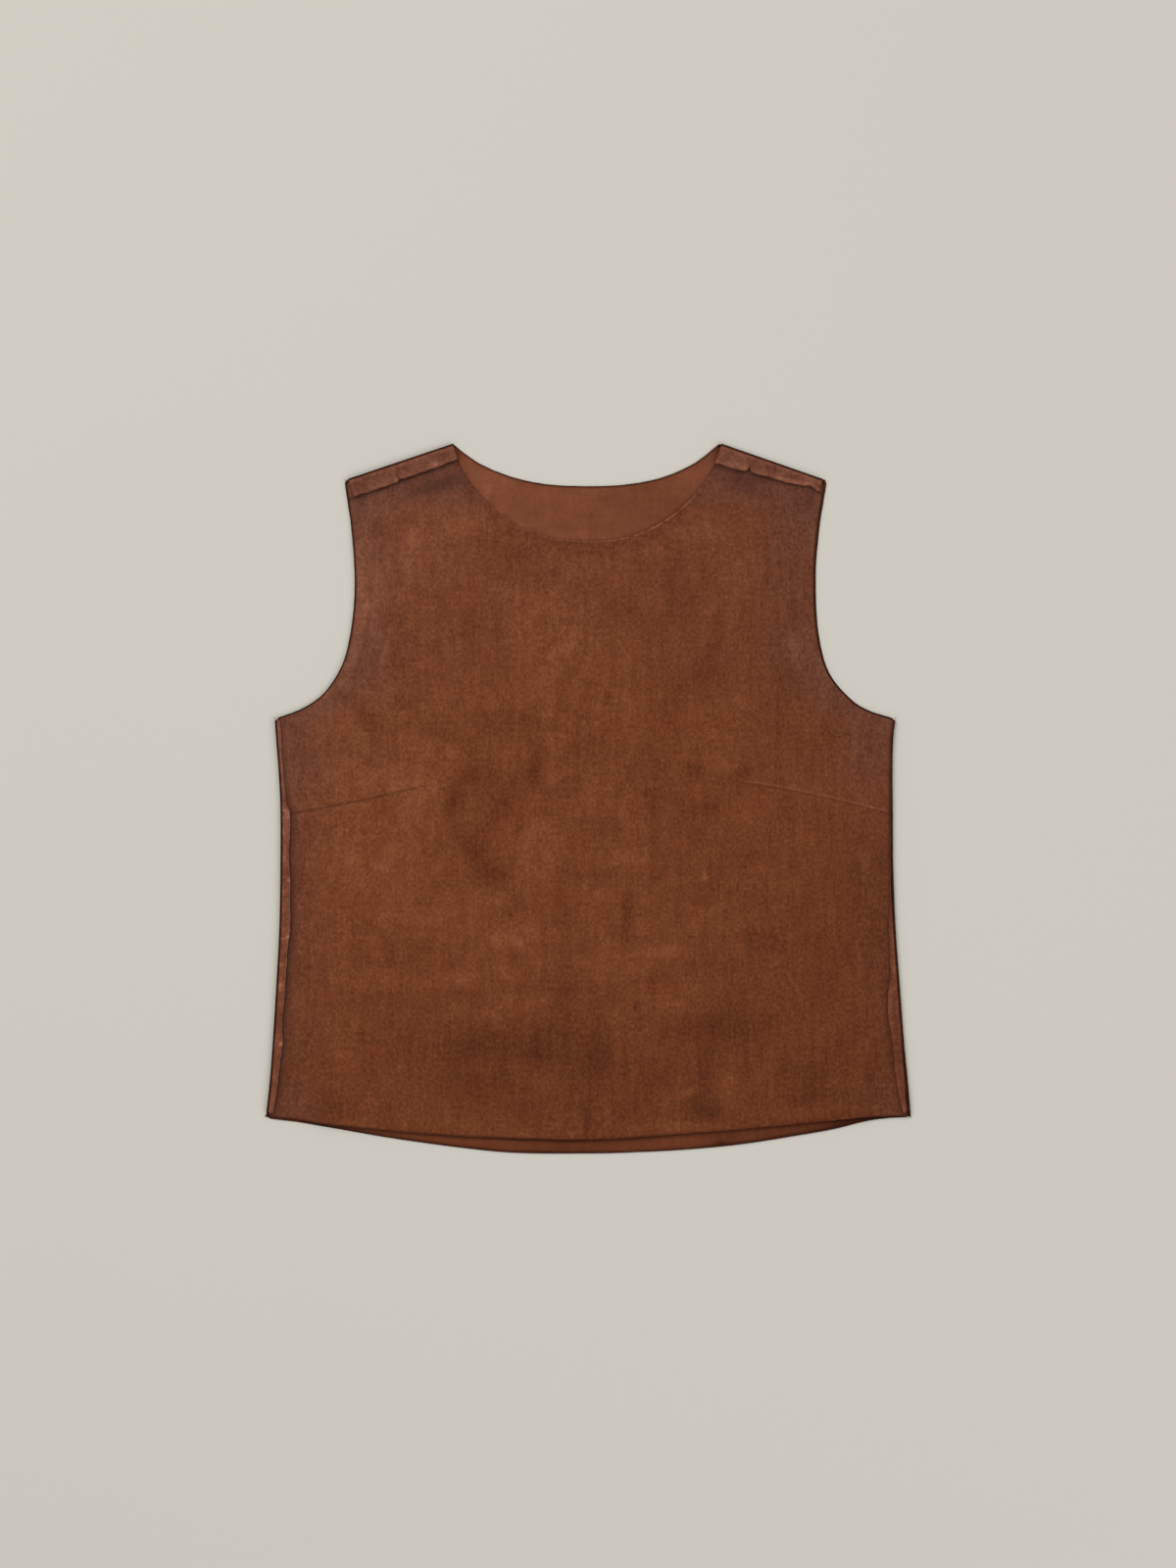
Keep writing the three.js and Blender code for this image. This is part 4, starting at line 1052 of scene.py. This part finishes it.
# the shoulder allowances' raw edges are dark: their own cut edge with painted shade
shoulderStrip = {"steps": 110, "edgeTone": -0.95, "outline": [(0, 1.1)], "cool": [(0, 0.95)], "edgeCool": 0}
strips = {
    "shoulder_allowance_left": dict(
        shoulderStrip, line=shoulderLine["left"], side="left", tone=-0.1, rows=shoulderLeftRows,
    ),
    "shoulder_allowance_right": dict(
        shoulderStrip, line=shoulderLine["right"], side="right", tone=0.1, rows=shoulderRightRows,
    ),
    "side_allowance_left": {
        "line": seamLine["left"], "side": "left", "tone": 0.0, "rows": sideLeftRows,
        "steps": 300, "edgeTone": 0.4, "outline": [(0, 1.2)],
        "cool": [(0, 0.25), (0.25, 0.2), (0.4, 0.1), (0.7, 0.1), (0.85, 0.9)], "edgeCool": 0.5,
    },
    "side_allowance_right": {
        "line": seamLine["right"], "side": "right", "tone": -0.3, "rows": sideRightRows,
        "steps": 300, "edgeTone": 0.15,
        "outline": [(0, 3.2), (0.1, 2.2), (0.2, 1.6), (0.45, 1.6), (0.55, 2.3), (0.88, 2.3), (0.95, 1.6)],
        "cool": [(0.5, 0.2), (0.7, 0.6)], "edgeCool": 0,
    },
}
fold = {
    "wall": 1.1, "rounding": 0.8, "foot": 1.3, "edge": 0.3, "ragged": 0.2, "narrow": (2.6, 4.2),
    "across": (0.04, 0.09, 0.16, 0.3, 0.45, 0.6, 0.74, 0.85, 0.93),
    "nap": [(2.8, 0.9, 0.35), (6, 2.2, -0.3)],  # place, width, tone
    "edgeNap": (2.4, 1.5, 0.4),  # the same, counted from the raw edge
    "edgeTone": 0.75, "nick": 0.8, "outline": -0.95, "wallNeck": 2.2, "slope": 0.2,
    # size, span and start along the strip
    "widthWaves": [(0.6, 1.9, 0), (0.5, 4.7, 1), (0.3, 0.9, 2)],
    "liftWaves": [(0.07, 6.1, 1)],
    "edgeWaves": [(0.25, 3.1, 0), (0.2, 1.3, 1)],
}


def stripSection(width, lift, edgeTone, outline):
    # across and height round the strip, with the tone of its edges and of its nap; its dark fold, walls and
    # raw edge are the cut's own dark colour with painted shade
    top, under, r, e = levels["stripTop"], levels["stripUnderside"], fold["rounding"], fold["edge"]
    wall, foot, slope = fold["wall"], fold["foot"], fold["slope"]
    narrow = 1 - smooth(width, *fold["narrow"])
    section = [(0, foot, -1, 0), (0, fold["wallNeck"], -1, 0)]
    section += [(r - r * math.cos(a), top - r + r * math.sin(a), -1, 0) for a in np.radians([0, 30, 60, 90])]
    inset, edgeWidth, edgeNap = fold["edgeNap"]
    for share in fold["across"]:
        across = r + (width - r - e) * share
        nap = sum(tone * bell(across - place, wide) for place, wide, tone in fold["nap"])
        nap += edgeNap * bell(width - inset - across, edgeWidth)
        tone = fold["outline"] * (1 - smooth(across, outline - 0.1 * narrow, outline + 1 - 0.6 * narrow))
        section.append((across, top + lift * share ** 1.5, tone, nap * (1 - narrow)))
    edgeTone = edgeTone * (1 - narrow)
    return section + [
        (width - e, top + lift, edgeTone * 0.8, 0.3), (width, top + lift - e, edgeTone, 0),
        (width, under + lift + e, -1, 0), (width - e, under + lift, -1, 0),
        (width * 0.5, under + lift * 0.25, 0, 0), (wall + slope, under, 0, 0), (wall, under - slope, 0, 0),
        (wall, foot, -0.5, 0),
    ]


def turnedAllowance(name, strip):
    rows, line = np.array(strip["rows"]), strip["line"]
    shares = np.linspace(rows[0, 0], rows[-1, 0], strip["steps"])
    shares = np.unique(np.concatenate([shares, rows[:, 0]]))
    run = runOf(line)
    edge = pointsAt(line, shares)
    inward = pointsAt(inwardOf(line, strip["side"]), np.linspace(0, 1, len(line)))
    inward = np.stack([np.interp(shares, run / run[-1], inward[:, k]) for k in (0, 1)], axis=1)
    width, lift, nap = (tableAt(rows, shares, k) for k in (1, 2, 3))
    cool, outline = (tableAt(strip[key], shares) for key in ("cool", "outline"))
    at = shares * run[-1]
    width = width + fold["ragged"] * ripple(at, fold["widthWaves"])
    lift = lift + ripple(at, fold["liftWaves"]) * np.minimum(lift * 3, 1)
    edgeTone = strip["edgeTone"] * (fold["edgeTone"] + ripple(at, fold["edgeWaves"]))
    points, values = [], {"nap": [], "shade": [], "line": [], "cool": []}
    for n in range(len(shares)):
        for across, z, tone, ownNap in stripSection(width[n], lift[n], edgeTone[n], outline[n]):
            points.append((*(edge[n] + inward[n] * across), z))
            # a nick's tone stays near the raw edge
            near = smooth(across, width[n] * 0.35, width[n] * 0.9) if abs(nap[n]) > fold["nick"] else 1
            values["nap"].append(nap[n] * near + ownNap + strip["tone"])
            values["shade"].append(0)
            values["cool"].append(cool[n] + strip["edgeCool"] * smooth(across, width[n] - 3.5, width[n] - 1))
            values["line"].append(tone)
    size = len(points) // len(shares)
    last = (len(shares) - 1) * size
    faces = []
    for n in range(len(shares) - 1):
        for i in range(size):
            a, b = n * size + i, n * size + (i + 1) % size
            faces.append([a, b, b + size, a + size])
    # each end is closed along the bend, as the section is an angle
    for i in range(size // 2):
        a, b, c, d = i, i + 1, size - 2 - i, size - 1 - i
        cap = [a, d, c, b] if b != c else [a, d, b]
        faces.append(cap)
        faces.append([last + k for k in cap[::-1]])
    if strip["side"] == "right":
        faces = [f[::-1] for f in faces]
    return addPiece(name, points, faces, values, suede["turned"])


turned = {}
for node, strip in strips.items():
    place, _, side = node.split("_")
    turned[node] = turnedAllowance(place + "Allowance" + side.capitalize(), strip)
print("turned allowances made")

# stitches and fibres


def newTree(name, sizes):
    # a tree with an input for each size, whose lines are already cut to the spacing
    tree = bpy.data.node_groups.new(name, "GeometryNodeTree")
    tree.interface.new_socket("Geometry", in_out="INPUT", socket_type="NodeSocketGeometry")
    for key, value in sizes.items():
        kind = "NodeSocketInt" if isinstance(value, int) else "NodeSocketFloat"
        tree.interface.new_socket(key, in_out="INPUT", socket_type=kind).default_value = value
    tree.interface.new_socket("Material", in_out="INPUT", socket_type="NodeSocketMaterial")
    tree.interface.new_socket("Geometry", in_out="OUTPUT", socket_type="NodeSocketGeometry")
    given = addNode(tree, "NodeGroupInput")
    spaced = {"Curve": given["Geometry"], "Length": given["Spacing"]}
    return tree, given, addNode(tree, "GeometryNodeResampleCurve", spaced, mode="LENGTH")["Curve"]


def endTree(tree, given, placing):
    # the instances made real and painted
    placed = addNode(tree, "GeometryNodeInstanceOnPoints", placing)["Instances"]
    real = addNode(tree, "GeometryNodeRealizeInstances", {"Geometry": placed})["Geometry"]
    painted = addNode(tree, "GeometryNodeSetMaterial", {"Geometry": real, "Material": given["Material"]})
    addNode(tree, "NodeGroupOutput", {"Geometry": painted["Geometry"]})


def growOn(name, lines, tree, sizes, material):
    # the tree's result on these lines as a plain mesh, the lines given in the frame
    curve = bpy.data.curves.new(name + "Lines", "CURVE")
    curve.dimensions = "3D"
    for line in lines:
        spline = curve.splines.new("POLY")
        spline.points.add(len(line) - 1)
        spline.points.foreach_set("co", np.column_stack([line, np.ones(len(line))]).ravel())
    source = bpy.data.objects.new(name + "Lines", curve)
    scene.collection.objects.link(source)
    modifier = source.modifiers.new("grow", "NODES")
    modifier.node_group = tree
    inputs = dict(sizes, Material=material)
    for socket in tree.interface.items_tree:
        if socket.in_out == "INPUT" and socket.name in inputs:
            modifier[socket.identifier] = inputs[socket.name]
    evaluated = source.evaluated_get(bpy.context.evaluated_depsgraph_get())
    mesh = bpy.data.meshes.new_from_object(evaluated)
    mesh.name = name
    if not mesh.materials:
        mesh.materials.append(material)
    bpy.data.objects.remove(source)
    piece = bpy.data.objects.new(name, mesh)
    scene.collection.objects.link(piece)
    return piece


stitch = {"Spacing": 0.0031, "Length": 0.0021, "Thread": 0.00022}
stitchTree, given, spaced = newTree("seamStitches", stitch)
bead = addNode(stitchTree, "GeometryNodeMeshUVSphere", {"Segments": 6, "Rings": 5, "Radius": 1})["Mesh"]
half = addNode(stitchTree, "ShaderNodeMath", {0: given["Length"], 1: 0.5}, operation="MULTIPLY")[0]
thread = given["Thread"]
stretch = addNode(stitchTree, "ShaderNodeCombineXYZ", {"X": half, "Y": thread, "Z": thread})[0]
shaped = addNode(stitchTree, "GeometryNodeTransform", {"Geometry": bead, "Scale": stretch})["Geometry"]
tangent = addNode(stitchTree, "GeometryNodeInputTangent")[0]
along = addNode(stitchTree, "FunctionNodeAlignRotationToVector", {"Vector": tangent}, axis="X")["Rotation"]
endTree(stitchTree, given, {"Points": spaced, "Instance": shaped, "Rotation": along})

fibre = {"Spacing": 0.0011, "Length": 0.0009, "Thickness": 0.00007, "Scatter": 0.0003, "Seed": 7}
fibreSpread = [
    # tilt, size and jitter: kind, first socket, output, least and most
    ("FLOAT_VECTOR", 0, 0, ((0.5, -0.9, 0), (2.2, 0.9, 6.28))),
    ("FLOAT", 2, 1, (0.45, 1.15)),
    ("FLOAT_VECTOR", 0, 0, ((-1, -1, -0.5), (1, 1, 0.5))),
]
fibreTree, given, spaced = newTree("edgeFibres", fibre)
hairSize = {"Vertices": 3, "Radius Bottom": given["Thickness"], "Depth": given["Length"]}
hair = addNode(fibreTree, "GeometryNodeMeshCone", hairSize)["Mesh"]
tilt, size, jitter = (
    addNode(
        fibreTree, "FunctionNodeRandomValue",
        {first: least, first + 1: most, "Seed": given["Seed"]}, data_type=kind,
    )[output]
    for kind, first, output, (least, most) in fibreSpread
)
scatter = {0: jitter, "Scale": given["Scatter"]}
offset = addNode(fibreTree, "ShaderNodeVectorMath", scatter, operation="SCALE")[0]
moved = addNode(fibreTree, "GeometryNodeSetPosition", {"Geometry": spaced, "Offset": offset})["Geometry"]
endTree(fibreTree, given, {"Points": moved, "Instance": hair, "Rotation": tilt, "Scale": size})


def plainMaterial(name, colour, roughness):
    material = bpy.data.materials.new(name)
    material.use_nodes = True
    tree = material.node_tree
    shader = tree.nodes["Principled BSDF"]
    shader.inputs["Roughness"].default_value = roughness
    shader.inputs["Specular IOR Level"].default_value = 0.15
    place = addNode(tree, "ShaderNodeTexCoord")["Object"]
    twist = addNode(tree, "ShaderNodeTexNoise", {"Vector": place, "Scale": 2200})["Fac"]
    ramp = tree.nodes.new("ShaderNodeValToRGB")
    for stop, gain in zip(ramp.color_ramp.elements, (0.7, 1.3)):
        stop.color = linear(*[min(c * gain, 255) for c in colour])
    tree.links.new(twist, ramp.inputs[0])
    tree.links.new(ramp.outputs[0], shader.inputs["Base Color"])
    return material


def inFrame(line, heights, side=None, inset=0.0):
    moved = line + (inwardOf(line, side) * inset if side else 0)
    return np.column_stack([moved[:, 0], moved[:, 1] + shiftY, np.broadcast_to(heights, len(line))]) * mm


seamThread = plainMaterial("seam_thread", (92, 50, 32), 0.7)
stitchLines = [inFrame(line[side], 1.32, side, 0.06) for line in (seamLine, shoulderLine) for side in sides]
seamStitches = growOn("seamStitches", stitchLines, stitchTree, stitch, seamThread)

# the fibres stand on the front's neck edge and hem, and on the raw edges of the turned allowances
neckEdge = neckLine(np.linspace(0.02, 0.98, 160), neck["front"])
hemInside = hemLine["front"][(np.abs(hemLine["front"][:, 0]) < 246)]
fibreLines = [
    inFrame(line, levels["frontUnderside"] + frontRelief(line[:, 0], line[:, 1]) + 0.9)
    for line in (neckEdge, hemInside)
]
for strip in strips.values():
    rows, line = np.array(strip["rows"]), strip["line"]
    share = runOf(line) / runOf(line)[-1]
    keep = (share > rows[0, 0]) & (share < rows[-1, 0])
    width, lift = tableAt(rows, share), tableAt(rows, share, 2)
    raw = line + inwardOf(line, strip["side"]) * (width - 0.2)[:, None]
    fibreLines.append(inFrame(raw[keep], (levels["stripTop"] + lift - 0.3)[keep]))
edgeFibre = plainMaterial("edge_fibre", (128, 78, 54), 0.9)
edgeFibres = growOn("edgeFibres", fibreLines, fibreTree, fibre, edgeFibre)
print("stitches and fibres made:", len(seamStitches.data.polygons), len(edgeFibres.data.polygons))

# floor

floorLook = {"reach": 6, "below": 0.0001, "colour": (0.60, 0.575, 0.52, 1), "roughness": 0.9, "specular": 0.1}
reach = floorLook["reach"]
corners = [(-reach, -reach, 0), (reach, -reach, 0), (reach, reach, 0), (-reach, reach, 0)]
floorMesh = bpy.data.meshes.new("floor")
floorMesh.from_pydata(corners, [], [(0, 1, 2, 3)])
floor = bpy.data.objects.new("floor", floorMesh)
floor.location.z = -floorLook["below"]
scene.collection.objects.link(floor)
floorPaint = bpy.data.materials.new("palePaint")
floorPaint.use_nodes = True
floorShader = floorPaint.node_tree.nodes["Principled BSDF"]
floorShader.inputs["Base Color"].default_value = floorLook["colour"]
floorShader.inputs["Roughness"].default_value = floorLook["roughness"]
floorShader.inputs["Specular IOR Level"].default_value = floorLook["specular"]
floorMesh.materials.append(floorPaint)

# frame

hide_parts("front_panel")
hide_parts("back_panel")
for node, piece in turned.items():
    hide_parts(node)
for piece in (frontPanel, backPanel, seamStitches, edgeFibres, *turned.values()):
    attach(piece, "root")
